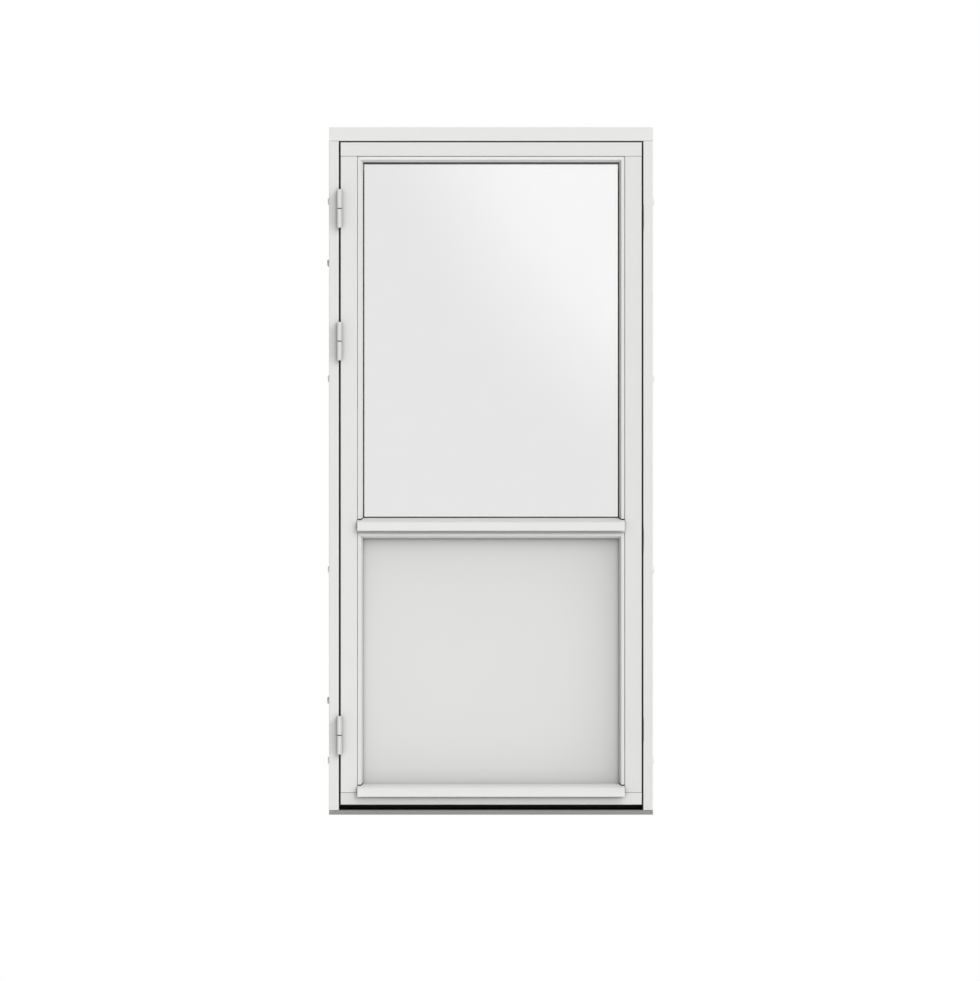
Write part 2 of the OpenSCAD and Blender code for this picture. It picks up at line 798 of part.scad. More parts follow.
// Rubber in front of the glass, taller below so that it shows above the drip bead
module glass_gasket() {
    side = bead_w + gasket_show;
    color(black_rubber) difference() {
        inset_block(glass_field, gasket_margin, bead_y1, glass_y0);
        block([field_x0 + side, bead_y1 - overrun, glass_field[1] + drip_rise + gasket_show],
            [field_x1 - side, glass_y0 + overrun, glass_field[3] - side]);
    }
}

module glass_tape() {
    color(black_rubber) flat_ring(glass_field, tape_margin, tape_margin + tape_w, glass_y5, lip_y0);
}

// Blocks that carry the glass and the panel on their rebates
module setting_blocks() {
    color("dimgray") for (x = [field_x0 + block_end_gap, field_x1 - block_end_gap - block_len]) {
        y0 = lip_y0 - block_w;
        block([x, y0, glass_field[1]], [x + block_len, lip_y0, glass_field[1] + pane_margin]);
        block([x, y0, panel_field[1]], [x + block_len, lip_y0, panel_field[1] + panel_margin]);
    }
}

// Section of a glazing bead, with the second number counted from the rebate
bead_section = [[bead_y1, bead_gap], [bead_y1, bead_w], [bead_y1 - bead_edge_t, bead_w], [bead_y0, bead_flat],
    [bead_y0, bead_gap]];

module bead_top(field) {
    color(white_paint) on_side(field, 2) mitred_bar(side_len(field, 2), bead_section);
}

// Side bead, mitred above and shaped over the sloping drip bead below
module bead_side(field, side) {
    high = drip_rise + cope_gap + drip_grade * drip_play;
    deep = bead_t + overrun;
    color(white_paint) difference() {
        on_side(field, side) mitred_bar(side_len(field, side), bead_section, side == 3 ? 1 : 0, side == 1 ? 1 : 0);
        translate([field_x0, 0, field[1]]) run_x(field_x1 - field_x0, [[bead_y1 + overrun, -overrun],
            [bead_y1 + overrun, high + overrun * drip_grade], [bead_y1 - deep, high - deep * drip_grade],
            [bead_y1 - deep, -overrun]]);
    }
}

// Rubber pad that seals the shaped end of a side bead on the sloping drip bead
module bead_pad(field, side) {
    low = drip_rise + drip_grade * drip_play + pad_play;
    high = low + cope_gap - 2 * pad_play;
    deep = bead_t + overrun;
    tall = field[3] - field[1] + overrun;
    difference() {
        on_side(field, side) mitred_bar(side_len(field, side), bead_section, side == 3 ? 1 : 0, side == 1 ? 1 : 0);
        translate([field_x0, 0, field[1]]) {
            run_x(field_x1 - field_x0, [[bead_y1 + overrun, -overrun],
                [bead_y1 + overrun, low + overrun * drip_grade], [bead_y1 - deep, low - deep * drip_grade],
                [bead_y1 - deep, -overrun]]);
            run_x(field_x1 - field_x0, [[bead_y1 + overrun, high + overrun * drip_grade],
                [bead_y1 + overrun, tall], [bead_y1 - deep, tall], [bead_y1 - deep, high - deep * drip_grade]]);
        }
    }
}

module bead_pads() {
    color(black_rubber) for (field = [glass_field, panel_field]) {
        bead_pad(field, 1);
        bead_pad(field, 3);
    }
}

// Thin extrusion: sloping top, skirt with a return lip, and a leg and foot in the rebate
module drip(field) {
    inner_y = drip_front_y + drip_wall;
    leg_y = drip_back_y - drip_wall;
    under = drip_wall * sqrt(1 + drip_grade * drip_grade);
    color(mill_aluminium) translate([field_x0 + drip_play, 0, field[1]])
        run_x(field_x1 - field_x0 - 2 * drip_play, [
            [drip_back_y, 0],
            [drip_back_y, drip_rise],
            [drip_front_y, drip_rise - drip_fall],
            [drip_front_y, -drip_skirt],
            [drip_front_y + drip_lip, -drip_skirt],
            [drip_front_y + drip_lip, drip_wall - drip_skirt],
            [inner_y, drip_wall - drip_skirt],
            [inner_y, drip_rise - drip_fall + drip_wall * drip_grade - under],
            [leg_y, drip_rise - drip_wall * drip_grade - under],
            [leg_y, drip_wall],
            [drip_back_y - drip_foot, drip_wall],
            [drip_back_y - drip_foot, 0]]);
}

module panel() {
    color(white_paint) inset_block(panel_field, panel_margin, bead_y1, lip_y0);
}

module leaf_hinge_screws() {
    color(zinc) leaf_hinge_screw_set();
}

module lock_face_plate() {
    color(zinc) difference() {
        block([face_plate_x, face_plate_y0, plate_z0], [leaf_x1, face_plate_y1, plate_z1]);
        for (z = bolt_zs)
            block([face_plate_x - overrun, bolt_y0 - slide_play, z - bolt_h / 2 - slide_play],
                [leaf_x1 + overrun, bolt_y1 + slide_play, z + bolt_h / 2 + slide_play]);
        face_plate_screw_set(screw_play, overrun);
    }
}

module face_plate_screws() {
    color(zinc) face_plate_screw_set();
}

// Closed case of the lock's gear, with a round seat for the follower
module lock_case() {
    color(zinc) difference() {
        block([case_x0, face_plate_y0, handle_z - case_h / 2], [case_x1, face_plate_y1, handle_z + case_h / 2]);
        rod_y(spindle_x, handle_z, face_plate_y0 - overrun, face_plate_y1 + overrun, hub_r + 2 * turn_play);
    }
}

module handle_rose() {
    color(zinc) difference() {
        translate([spindle_x, 0, handle_z]) run_y(leaf_y1, rose_y1, slot_outline(rose_w, rose_len / 2, -rose_len / 2));
        rod_y(spindle_x, handle_z, leaf_y1 - overrun, rose_y1 + overrun, neck_r + 2 * turn_play);
        rose_screw_set(screw_play, overrun);
    }
}

module rose_screws() {
    color(zinc) rose_screw_set();
}

// Square hole for the spindle, or the spindle itself
module square_bar(w, y0, y1) {
    block([spindle_x - w / 2, y0, handle_z - w / 2], [spindle_x + w / 2, y1, handle_z + w / 2]);
}

// Lever that narrows and thins towards its round tip, standing up along Z
module lever_arm() {
    root_r = lever_w / 2;
    tip_r = lever_tip_w / 2;
    intersection() {
        run_y(lever_y0, lever_y1, concat(arc([0, lever_len - tip_r], tip_r, 0, 180), arc([0, 0], root_r, 180, 360)));
        translate([-root_r, 0, 0]) run_x(lever_w, concat(
            [[lever_y0, -root_r], [lever_y1, -root_r]],
            arc([lever_y1 - lever_tip_round, lever_len - lever_tip_round], lever_tip_round, 0, 90),
            [[lever_y1 - lever_tip_t, lever_len], [lever_y0, root_r]]));
    }
}

// Neck in the rose and a lever that points up while the bolts are drawn back
module lever_handle() {
    color(zinc) difference() {
        union() {
            rod_y(spindle_x, handle_z, leaf_y1 + neck_root, lever_y1 - lever_t / 2, neck_r);
            translate([spindle_x, 0, handle_z]) lever_arm();
        }
        square_bar(spindle_w + 2 * spindle_play, leaf_y1, rose_y1 + lever_socket);
    }
}

module handle_spindle() {
    color(zinc) square_bar(spindle_w, face_plate_y0 + hub_play, rose_y1 + lever_socket);
}

module lock_follower() {
    color(zinc) difference() {
        rod_y(spindle_x, handle_z, face_plate_y0 + hub_play, face_plate_y1 - hub_play, hub_r);
        square_bar(spindle_w + 2 * spindle_play, face_plate_y0 - overrun, face_plate_y1 + overrun);
    }
}

// Flat bar along the lock, with a slanted slot in a wider tab at each bolt
module lock_rail() {
    slot_r = follower_pin_r + slide_play;
    slant = atan2(bolt_throw, rail_throw);
    length = norm([bolt_throw, rail_throw]);
    color(zinc) difference() {
        union() {
            block([rail_x0, rail_y0, rail_z0], [rail_x1, rail_y1, rail_z1]);
            for (z = bolt_zs)
                block([tab_x0, rail_y0, z - tab_down], [rail_x1, rail_y1, z + tab_up]);
        }
        for (z = bolt_zs)
            translate([pin_x, 0, z]) rotate([0, -slant, 0])
                run_y(rail_y0 - overrun, rail_y1 + overrun, slot_outline(2 * slot_r, slot_r, -length - slot_r));
    }
}

// Bolt with a bevelled nose and the side pin that runs in the rail's slot
module bolt(z) {
    y_mid = (bolt_y0 + bolt_y1) / 2;
    color(zinc) union() {
        run_z(z - bolt_h / 2, z + bolt_h / 2, [[bolt_x0, bolt_y0], [bolt_x1 - bolt_nose, bolt_y0],
            [bolt_x1, bolt_y0 + bolt_nose], [bolt_x1, y_mid + bolt_nose], [bolt_x1 - bolt_nose, bolt_y1],
            [bolt_x0, bolt_y1]]);
        rod_y(pin_x, z, rail_y0, y_mid, follower_pin_r);
    }
}

frame_head();
hinge_jamb();
lock_jamb();
sill_base();
sill_nosing();
sill_board();
frame_seal();
fixing_sleeves();
load_sleeves();
strike_plates();
strike_screws();
frame_hinge(hinge_zs[0]);  // frame_hinge_top
frame_hinge(hinge_zs[1]);  // frame_hinge_middle
frame_hinge(hinge_zs[2]);  // frame_hinge_bottom
hinge_pins();
hinge_washers();
frame_hinge_screws();
hinge_stile();
lock_stile();
top_rail();
mid_rail();
bottom_rail();
leaf_weather_seal();
pane(glass_y0, glass_y1);  // outer_pane
pane(glass_y2, glass_y3);  // middle_pane
pane(glass_y4, glass_y5);  // inner_pane
spacer(glass_y1, glass_y2);  // outer_spacer
spacer(glass_y3, glass_y4);  // inner_spacer
glass_gasket();
glass_tape();
setting_blocks();
bead_top(glass_field);  // glass_bead_top
bead_side(glass_field, 3);  // glass_bead_left
bead_side(glass_field, 1);  // glass_bead_right
drip(glass_field);  // glass_drip
panel();
bead_top(panel_field);  // panel_bead_top
bead_side(panel_field, 3);  // panel_bead_left
bead_side(panel_field, 1);  // panel_bead_right
drip(panel_field);  // panel_drip
bead_pads();
leaf_hinge(hinge_zs[0]);  // leaf_hinge_top
leaf_hinge(hinge_zs[1]);  // leaf_hinge_middle
leaf_hinge(hinge_zs[2]);  // leaf_hinge_bottom
leaf_hinge_screws();
lock_face_plate();
face_plate_screws();
lock_case();
handle_rose();
rose_screws();
lever_handle();
handle_spindle();
lock_follower();
lock_rail();
bolt(bolt_zs[0]);  // top_bolt
bolt(bolt_zs[1]);  // middle_bolt
bolt(bolt_zs[2]);  // bottom_bolt
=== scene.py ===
"""Looks of an outward opening patio door in its frame. Metres; the outside is towards -Y and Z is up."""
import math

import bmesh
import bpy
import numpy as np
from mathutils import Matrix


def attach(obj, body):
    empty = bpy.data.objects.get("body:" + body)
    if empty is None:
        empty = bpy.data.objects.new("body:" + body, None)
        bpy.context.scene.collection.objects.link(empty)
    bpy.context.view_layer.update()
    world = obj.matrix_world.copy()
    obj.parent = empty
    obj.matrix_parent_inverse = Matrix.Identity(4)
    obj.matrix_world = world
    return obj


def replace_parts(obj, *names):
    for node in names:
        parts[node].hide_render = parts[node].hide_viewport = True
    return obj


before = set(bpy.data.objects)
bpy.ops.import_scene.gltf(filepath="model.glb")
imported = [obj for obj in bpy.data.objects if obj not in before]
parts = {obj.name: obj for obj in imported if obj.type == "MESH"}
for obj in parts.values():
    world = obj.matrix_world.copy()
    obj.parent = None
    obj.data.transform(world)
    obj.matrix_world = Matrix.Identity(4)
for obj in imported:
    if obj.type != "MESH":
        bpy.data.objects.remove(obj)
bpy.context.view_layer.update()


# Frame: a head and two jambs of planed pine, housed and screwed at the corners, with rounded arrises. The
# shop sprays them white: the paint has a fine orange peel, and the longest grain lines show through it.
# Painted shade greys the arrises beside the leaf's gap, and a painted shadow of the knuckles greys the hinge
# jamb outside them.
PAINT_LIGHT = (0.813, 0.815, 0.796)
PAINT_DARK = (0.783, 0.785, 0.765)
# Creases in each paint are darkened by painted shade: the white times the open share of the half sphere
# nearby.
PAINT_SHEEN, PAINT_CREASE_SHADE = 0.15, 0.6
CREASE_SHADE_REACH, CREASE_SHADE_SAMPLES = 0.06, 8
EVEN, UPRIGHT, ACROSS = (1, 1, 1), (1, 1, 0.03), (0.03, 1, 1)
EASED_ABOVE = math.radians(50)
WELD_REACH = 1e-5
# The head's white is a lighter copy of the jambs' paint: painted light.
HEAD_PAINTED_LIGHT = 1.025
HINGE_ZS = np.array((1.833, 1.432, 0.241))
# Painted shadow of each hinge's knuckles: a greyer strip on the hinge jamb outside it, a little below its
# middle.
HINGE_SHADOW_X, HINGE_SHADOW_Y, HINGE_SHADOW_RISE = (-0.469, -0.481), (-0.0535, -0.0565), (0.062, 0.036)
HINGE_SHADOW_DROP, HINGE_SHADOW_DEPTH = 0.0067, 0.14
# Painted shade on the front arrises beside the leaf's gap, so that the gap reads darker.
ARRIS_SHADE_Y = (-0.0535, -0.0548)
HINGE_ARRIS_X, HINGE_ARRIS_SHADE = (-0.4610, -0.4601), 0.85
LOCK_ARRIS_X, LOCK_ARRIS_SHADE = (0.4618, 0.4602), 0.9


class Wire:
    """A socket in a material. Arithmetic on it adds Math nodes, and node() adds a node of any other kind."""

    def __init__(self, tree, socket=None):
        self.tree, self.socket = tree, socket

    def node(self, kind, settings, inputs, out=0):
        """Adds a node: first its settings, then the value or link of each socket. Gives the named output."""
        made = self.tree.nodes.new("ShaderNode" + kind)
        for key, value in settings.items():
            setattr(made, key, value)
        for key, value in inputs.items():
            if isinstance(value, Wire):
                self.tree.links.new(value.socket, made.inputs[key])
            else:
                made.inputs[key].default_value = value
        return Wire(self.tree, made.outputs[out] if made.outputs else None)

    def math(self, operation, first, second=0.0):
        """Adds a Math node."""
        return self.node("Math", {"operation": operation}, {0: first, 1: second})

    def __add__(self, other):
        return self.math("ADD", self, other)

    def __sub__(self, other):
        return self.math("SUBTRACT", self, other)

    def __rsub__(self, other):
        return self.math("SUBTRACT", other, self)

    def __mul__(self, other):
        return self.math("MULTIPLY", self, other)

    __radd__, __rmul__ = __add__, __mul__


def noise(wire, stretch, size, detail=2.0):
    """Noise of about that feature size in metres, with Object coordinates scaled by stretch first."""
    local = wire.node("TexCoord", {}, {}, "Object")
    drawn = wire.node("Mapping", {}, {"Vector": local, "Scale": stretch})
    return wire.node("TexNoise", {}, {"Vector": drawn, "Scale": 1 / size, "Detail": detail})


def coordinate(wire, axis):
    """One of the Object coordinates X, Y and Z, in metres."""
    local = wire.node("TexCoord", {}, {}, "Object")
    return wire.node("SeparateXYZ", {}, {"Vector": local}, axis)


def between(wire, value, start, end):
    """Smooth step from 0 at start to 1 at end."""
    return wire.node("MapRange", {"interpolation_type": "SMOOTHSTEP"}, {"Value": value, 1: start, 2: end})


def two_tone(wire, mask, first, second):
    """Colour that goes from first to second as the mask goes from 0 to 1."""
    first, second = (tone if isinstance(tone, Wire) else (*tone, 1) for tone in (first, second))
    return wire.node("Mix", {"data_type": "RGBA"}, {0: mask, 6: first, 7: second}, 2)


def toned(wire, colour, share):
    """The colour times a share."""
    return wire.node("VectorMath", {"operation": "SCALE"}, {0: colour, "Scale": share})


def shade_creases(wire, colour, depth):
    """The colour with painted shade in creases: times the open share of the half sphere nearby to the power
    of depth.
    """
    clear = wire.node("AmbientOcclusion", {"samples": CREASE_SHADE_SAMPLES}, {"Distance": CREASE_SHADE_REACH}, "AO")
    return toned(wire, colour, wire.math("POWER", clear, depth))


def coating(name, draw, **constant):
    """Material whose draw(wire) gives its colour, roughness, height and relief. Height times relief, in
    metres, becomes the Normal. The constant sockets are set as they are."""
    material = bpy.data.materials.new(name)
    material.use_nodes = True
    material.node_tree.nodes.clear()
    wire = Wire(material.node_tree)
    finish = draw(wire)
    normal = wire.node("Bump", {}, {
        "Strength": 1.0, "Distance": finish["relief"], "Height": finish["height"]})
    sockets = {key.replace("_", " "): value for key, value in constant.items()}
    shader = wire.node("BsdfPrincipled", {}, {
        "Base Color": finish["colour"], "Roughness": finish["roughness"], "Normal": normal, **sockets})
    wire.node("OutputMaterial", {}, {"Surface": shader})
    return material


def dress(material, names, ease=0.0):
    """Gives CAD pieces their finish. Where ease is above 0 their sharp edges are rounded by that much."""
    for name in names:
        piece = parts[name]
        piece.material_slots[0].material = material
        if ease:
            close = piece.modifiers.new("close", "WELD")
            close.merge_threshold = WELD_REACH
            soft = piece.modifiers.new("ease", "BEVEL")
            soft.width, soft.segments = ease, 2
            soft.limit_method, soft.angle_limit = "ANGLE", EASED_ABOVE
            soft.harden_normals = True


def clean(wire):
    """All of the white is left."""
    return 1.0


def shaded_arris(wire, axis, reach, depth):
    """White left on an arris beside the leaf's gap, as painted shade: from 1 to 1 - depth over the reach, at
    the front only.
    """
    front = between(wire, coordinate(wire, "Y"), *ARRIS_SHADE_Y)
    return 1.0 - depth * between(wire, coordinate(wire, axis), *reach) * front


def hinge_shadowed(wire):
    """White left on the hinge jamb: painted shade on its arris, and a painted shadow of the knuckles as a
    greyer strip outside each hinge.
    """
    strip = between(wire, coordinate(wire, "X"), *HINGE_SHADOW_X) * between(wire, coordinate(wire, "Y"), *HINGE_SHADOW_Y)
    white = shaded_arris(wire, "X", HINGE_ARRIS_X, HINGE_ARRIS_SHADE)
    for height in HINGE_ZS - HINGE_SHADOW_DROP:
        away = wire.math("ABSOLUTE", coordinate(wire, "Z") - float(height))
        white = white - HINGE_SHADOW_DEPTH * strip * between(wire, away, *HINGE_SHADOW_RISE)
    return white


def paint(name, grain_way, white_left=clean, crease_shade=PAINT_CREASE_SHADE):
    """Sprayed white on wood: a slow drift between two whites, gloss that drifts with it, and relief that adds
    orange peel to grain drawn out along the member. white_left(wire) is the share of white in each place."""
    def draw(wire):
        drift = noise(wire, EVEN, size=0.35)
        grain = noise(wire, grain_way, size=0.0016, detail=3.0)
        peel = noise(wire, EVEN, size=0.0025)
        white = toned(wire, two_tone(wire, drift, PAINT_DARK, PAINT_LIGHT), white_left(wire))
        # Creases get painted shade.
        return dict(colour=shade_creases(wire, white, crease_shade), roughness=0.36 + 0.10 * drift + 0.08 * grain,
                    height=0.65 * grain + 0.35 * peel, relief=0.00006)
    return coating(name, draw, Coat_Weight=PAINT_SHEEN)


dress(paint("white_paint_hinge_jamb", UPRIGHT, hinge_shadowed), ("hinge_jamb",))
dress(paint("white_paint_lock_jamb", UPRIGHT, lambda wire: shaded_arris(wire, "X", LOCK_ARRIS_X, LOCK_ARRIS_SHADE)),
      ("lock_jamb",))
dress(paint("white_paint_head", ACROSS, lambda wire: HEAD_PAINTED_LIGHT), ("frame_head",))

# Sill: a plate of black composite with an upstand for the lower seal, an anodised nosing pressed on in
# front of it, and an oiled oak board screwed on from the room.
NOSING_GREY = (0.355, 0.355, 0.345)
NOSING_LIGHT = (0.435, 0.435, 0.42)
COMPOSITE_DARK = (0.024, 0.024, 0.024)
COMPOSITE_FLECK = (0.075, 0.075, 0.075)
FLECK_MASK, PORE_MASK = (0.56, 0.72), (0.57, 0.68)
OAK_EARLY = (0.46, 0.29, 0.15)
OAK_LATE = (0.27, 0.145, 0.062)
OAK_PORE = (0.12, 0.06, 0.025)
BASE_EASE, NOSING_EASE, BOARD_EASE = 0.0006, 0.0004, 0.0008


def moulded_composite(wire):
    """Glass fibre in black resin: short pale flecks along X, with a matt skin."""
    fleck = noise(wire, (0.25, 1, 1), size=0.0011, detail=4.0)
    colour = two_tone(wire, between(wire, fleck, *FLECK_MASK), COMPOSITE_DARK, COMPOSITE_FLECK)
    return dict(colour=colour, roughness=0.50 + 0.2 * fleck, height=fleck, relief=0.00008)


def drawn_aluminium(wire):
    """Anodised extrusion: fine die lines along X in colour, gloss and relief."""
    lines = noise(wire, (0.004, 1, 1), size=0.0007, detail=3.0)
    colour = two_tone(wire, lines, NOSING_GREY, NOSING_LIGHT)
    return dict(colour=colour, roughness=0.34 + 0.16 * lines, height=lines, relief=0.00003)


def oiled_oak(wire):
    """Oak along X: rings are bands of distance bent by slow noise, and pores are short dark strokes."""
    bend = noise(wire, (0.25, 1, 1), size=0.045)
    local = wire.node("TexCoord", {}, {}, "Object")
    drawn = wire.node("Mapping", {}, {"Vector": local, "Scale": (0.10, 1, 1.6)})
    rings = wire.node("TexWave", {"bands_direction": "Y", "wave_profile": "SAW"}, {
        "Vector": drawn, "Scale": 38.0, "Distortion": 7.0, "Detail": 2.0, "Detail Scale": 1.4,
        "Phase Offset": bend})
    stroke = between(wire, noise(wire, (0.05, 1, 1), size=0.0009), *PORE_MASK)
    wood = two_tone(wire, 0.75 * rings + 0.25 * bend, OAK_EARLY, OAK_LATE)
    colour = two_tone(wire, 0.8 * stroke, wood, OAK_PORE)
    return dict(colour=colour, roughness=0.42 + 0.22 * stroke,
                height=0.4 * rings - 0.9 * stroke, relief=0.00012)


dress(coating("black_composite", moulded_composite), ("sill_base",), BASE_EASE)
dress(coating("anodised_grey", drawn_aluminium, Metallic=0.5), ("sill_nosing",), NOSING_EASE)
dress(coating("oiled_oak", oiled_oak), ("sill_board",), BOARD_EASE)

# Frame seal: a hollow bulb of black rubber on a flat foot, glued round the stop and welded at the corners.
# The closed leaf just touches its crown.
LEAF_LOW, LEAF_HIGH = (-0.4555, 0.030), (0.4560, 2.035)
STOP_Y, SEAL_CROWN_Y = 0.0155, 0.0118
FOOT_OUT, FOOT_IN, FOOT_CHAMFER = 0.0010, 0.0090, 0.0008
FOOT_EDGE_Y, FOOT_FACE_Y = STOP_Y - 0.0009, STOP_Y - 0.0011
BULB_INSET, BULB_HALF_W, BULB_POWER, BULB_STEPS = 0.0050, 0.0029, 0.8, 15
RUBBER_BLACK = (0.005, 0.005, 0.0055)
RUBBER_BLOOM = (0.013, 0.013, 0.0135)
RUBBER_SHINE = 0.15
MERGE_REACH, SHARP_ABOVE = 2e-6, math.radians(40)


def skin(name, points, material, body, loop_rows=False):
    """Mesh over a grid of points (copies, rows, steps, 3), one face to a cell. Steps close round, and rows do
    when loop_rows is true. Rows drawn together to one point are merged, and every face is turned outwards."""
    number = np.arange(points[..., 0].size).reshape(points.shape[:3])
    if loop_rows:
        number = np.concatenate((number, number[:, :1]), 1)
    number = np.concatenate((number, number[:, :, :1]), 2)
    cells = np.stack((number[:, :-1, :-1], number[:, :-1, 1:], number[:, 1:, 1:], number[:, 1:, :-1]), -1)
    mesh = bpy.data.meshes.new(name)
    mesh.from_pydata(points.reshape(-1, 3), [], cells.reshape(-1, 4))
    whole = bmesh.new()
    whole.from_mesh(mesh)
    bmesh.ops.remove_doubles(whole, verts=whole.verts, dist=MERGE_REACH)
    bmesh.ops.recalc_face_normals(whole, faces=whole.faces)
    whole.to_mesh(mesh)
    whole.free()
    mesh.shade_smooth()
    mesh.set_sharp_from_angle(angle=SHARP_ABOVE)
    mesh.materials.append(material)
    piece = bpy.data.objects.new(name, mesh)
    bpy.context.scene.collection.objects.link(piece)
    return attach(piece, body)


def ring_round(section, low, high):
    """Section points (depth, inset) carried round a rectangle whose corners move in by the inset."""
    depth, inset = section[:, :1], section[:, 1:]
    x = np.concatenate((low[0] + inset, high[0] - inset, high[0] - inset, low[0] + inset), 1)
    z = np.concatenate((low[1] + inset, low[1] + inset, high[1] - inset, high[1] - inset), 1)
    return np.stack((x, depth + 0 * x, z), -1)[None]


def moulded_rubber(wire):
    """Black rubber: a faint bloom that drifts over it, and a fine matt texture."""
    bloom = noise(wire, EVEN, size=0.03, detail=3.0)
    matt = noise(wire, EVEN, size=0.0006)
    colour = two_tone(wire, bloom, RUBBER_BLACK, RUBBER_BLOOM)
    return dict(colour=colour, roughness=0.48 + 0.2 * bloom, height=matt, relief=0.00003)


rubber = coating("black_rubber", moulded_rubber, Specular_IOR_Level=RUBBER_SHINE)
swell = np.linspace(0, np.pi, BULB_STEPS)
foot = np.array([(STOP_Y, FOOT_IN), (STOP_Y, FOOT_OUT), (FOOT_EDGE_Y, FOOT_OUT),
                 (FOOT_FACE_Y, FOOT_OUT + FOOT_CHAMFER)])
crown = np.stack((FOOT_FACE_Y - (FOOT_FACE_Y - SEAL_CROWN_Y) * np.sin(swell) ** BULB_POWER,
                  BULB_INSET - BULB_HALF_W * np.cos(swell)), 1)
heel = np.array([(FOOT_FACE_Y, FOOT_IN - FOOT_CHAMFER), (FOOT_EDGE_Y, FOOT_IN)])
bulb = ring_round(np.concatenate((foot, crown, heel)), LEAF_LOW, LEAF_HIGH)
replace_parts(skin("frame_bulb_seal", bulb, rubber, "frame", loop_rows=True), "frame_seal")

# Fixing sleeves: threaded tubes turned into both jambs from the doorway with a hexagon key. They bear on the
# wall and the fixing screws pass through them. Eight are white plastic, and two on the hinge side are steel.
JAMB_INNER_X, JAMB_FACE = 0.460, 0.030
SLEEVE_SINK, SLEEVE_OUT, LOAD_OUT = 0.0005, 0.006, 0.008
SLEEVE_ZS = np.array((0.16016, 0.74048, 1.32080, 1.85952))
LOAD_ZS = np.array((0.34216, 1.67232))
BORE_R, BORE_LIP, SLEEVE_FACE_R, SLEEVE_CHAMFER = 0.0042, 0.0004, 0.0092, 0.0012
THREAD_R, THREAD_DEPTH, THREAD_PITCH, THREAD_FADE, THREAD_POWER = 0.0098, 0.0011, 0.0036, 0.002, 0.6
SOCKET_R, SOCKET_DEPTH, SOCKET_LIP = 0.0063, 0.0100, 0.0003
SLEEVE_STEPS, THREAD_ROWS = 48, 80
PLASTIC_LIGHT, PLASTIC_DARK = (0.87, 0.87, 0.85), (0.81, 0.81, 0.79)
ZINC_DARK, ZINC_LIGHT = (0.50, 0.51, 0.53), (0.66, 0.66, 0.66)
# A duller and paler copy of the zinc for the steel sleeves: its paleness is painted light.
DULL_LIT_ZINC_DARK, DULL_LIT_ZINC_LIGHT = (0.66, 0.67, 0.68), (0.80, 0.80, 0.80)


def full_turn(steps):
    """Angles of a full turn in even steps."""
    return np.linspace(0, 2 * np.pi, steps + 1)[:-1]


def hoops(turn, *values):
    """Rows with one value each, as long as turn."""
    return np.stack([value + 0 * turn for value in values])


def sleeve_skins(side, heights, out):
    """Tubes turned about X: the rows run over the outer face, down the thread, over the inner face, down the
    hexagon socket and back up the bore. On the thread the radius is core + depth (0.5 + 0.5 cos)^0.6 of
    row - turn, and the socket's radius is that of a hexagon with SOCKET_R to its corners."""
    turn = full_turn(SLEEVE_STEPS)
    length = JAMB_FACE - SLEEVE_SINK + out
    thread_end = length - SLEEVE_CHAMFER
    along = np.linspace(thread_end, SLEEVE_CHAMFER, THREAD_ROWS)[:, None]
    wave = 0.5 + 0.5 * np.cos(2 * np.pi * along / THREAD_PITCH - turn)
    run_out = np.clip(np.minimum(thread_end - along, along - SLEEVE_CHAMFER) / THREAD_FADE, 0, 1)
    thread = THREAD_R + THREAD_DEPTH * run_out * wave ** THREAD_POWER
    sixth = math.pi / 6
    hexagon = SOCKET_R * math.cos(sixth) / np.cos((turn + sixth) % (2 * sixth) - sixth)
    radius = np.concatenate((
        hoops(turn, BORE_R, BORE_R + BORE_LIP, SLEEVE_FACE_R), thread,
        hoops(turn, SLEEVE_FACE_R, hexagon + SOCKET_LIP, hexagon, hexagon, BORE_R + BORE_LIP, BORE_R)))
    depth = np.concatenate((
        hoops(turn, length - BORE_LIP, length, length), along + 0 * turn,
        hoops(turn, 0, 0, BORE_LIP, SOCKET_DEPTH, SOCKET_DEPTH, SOCKET_DEPTH + BORE_LIP)))
    x = side * (JAMB_INNER_X + SLEEVE_SINK + depth)
    shape = np.stack((x, radius * np.cos(turn), radius * np.sin(turn)), -1)
    lift = np.zeros((len(heights), 1, 1, 3))
    lift[:, 0, 0, 2] = heights
    return shape[None] + lift


def moulded_plastic(light, dark):
    """Moulded plastic: slow colour drift, satin gloss and a spark-eroded texture of half a millimetre."""
    def draw(wire):
        drift = noise(wire, EVEN, size=0.02)
        grit = noise(wire, EVEN, size=0.0005)
        colour = two_tone(wire, drift, dark, light)
        return dict(colour=colour, roughness=0.40 + 0.12 * drift, height=grit, relief=0.00002)
    return draw


def zinc_plate(dark, light):
    """Zinc on steel: cloudy patches of two greys, rougher where paler, with fine rolling lines along Z."""
    def draw(wire):
        cloud = noise(wire, EVEN, size=0.006, detail=4.0)
        lines = noise(wire, (1, 1, 0.02), size=0.0005)
        colour = two_tone(wire, cloud, dark, light)
        return dict(colour=colour, roughness=0.24 + 0.22 * cloud + 0.06 * lines,
                    height=0.5 * cloud + 0.5 * lines, relief=0.00003)
    return draw


white_plastic = coating("white_plastic", moulded_plastic(PLASTIC_LIGHT, PLASTIC_DARK))
zinc = coating("zinc_steel", zinc_plate(ZINC_DARK, ZINC_LIGHT), Metallic=1.0)
dull_lit_zinc = coating("dull_lit_zinc_steel", zinc_plate(DULL_LIT_ZINC_DARK, DULL_LIT_ZINC_LIGHT), Metallic=0.6)
both_sides = np.concatenate([sleeve_skins(side, SLEEVE_ZS, SLEEVE_OUT) for side in (-1, 1)])
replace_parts(skin("threaded_sleeves", both_sides, white_plastic, "frame", loop_rows=True),
            "fixing_sleeves")
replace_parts(skin("threaded_load_sleeves", sleeve_skins(-1, LOAD_ZS, LOAD_OUT), dull_lit_zinc, "frame",
                 loop_rows=True), "load_sleeves")

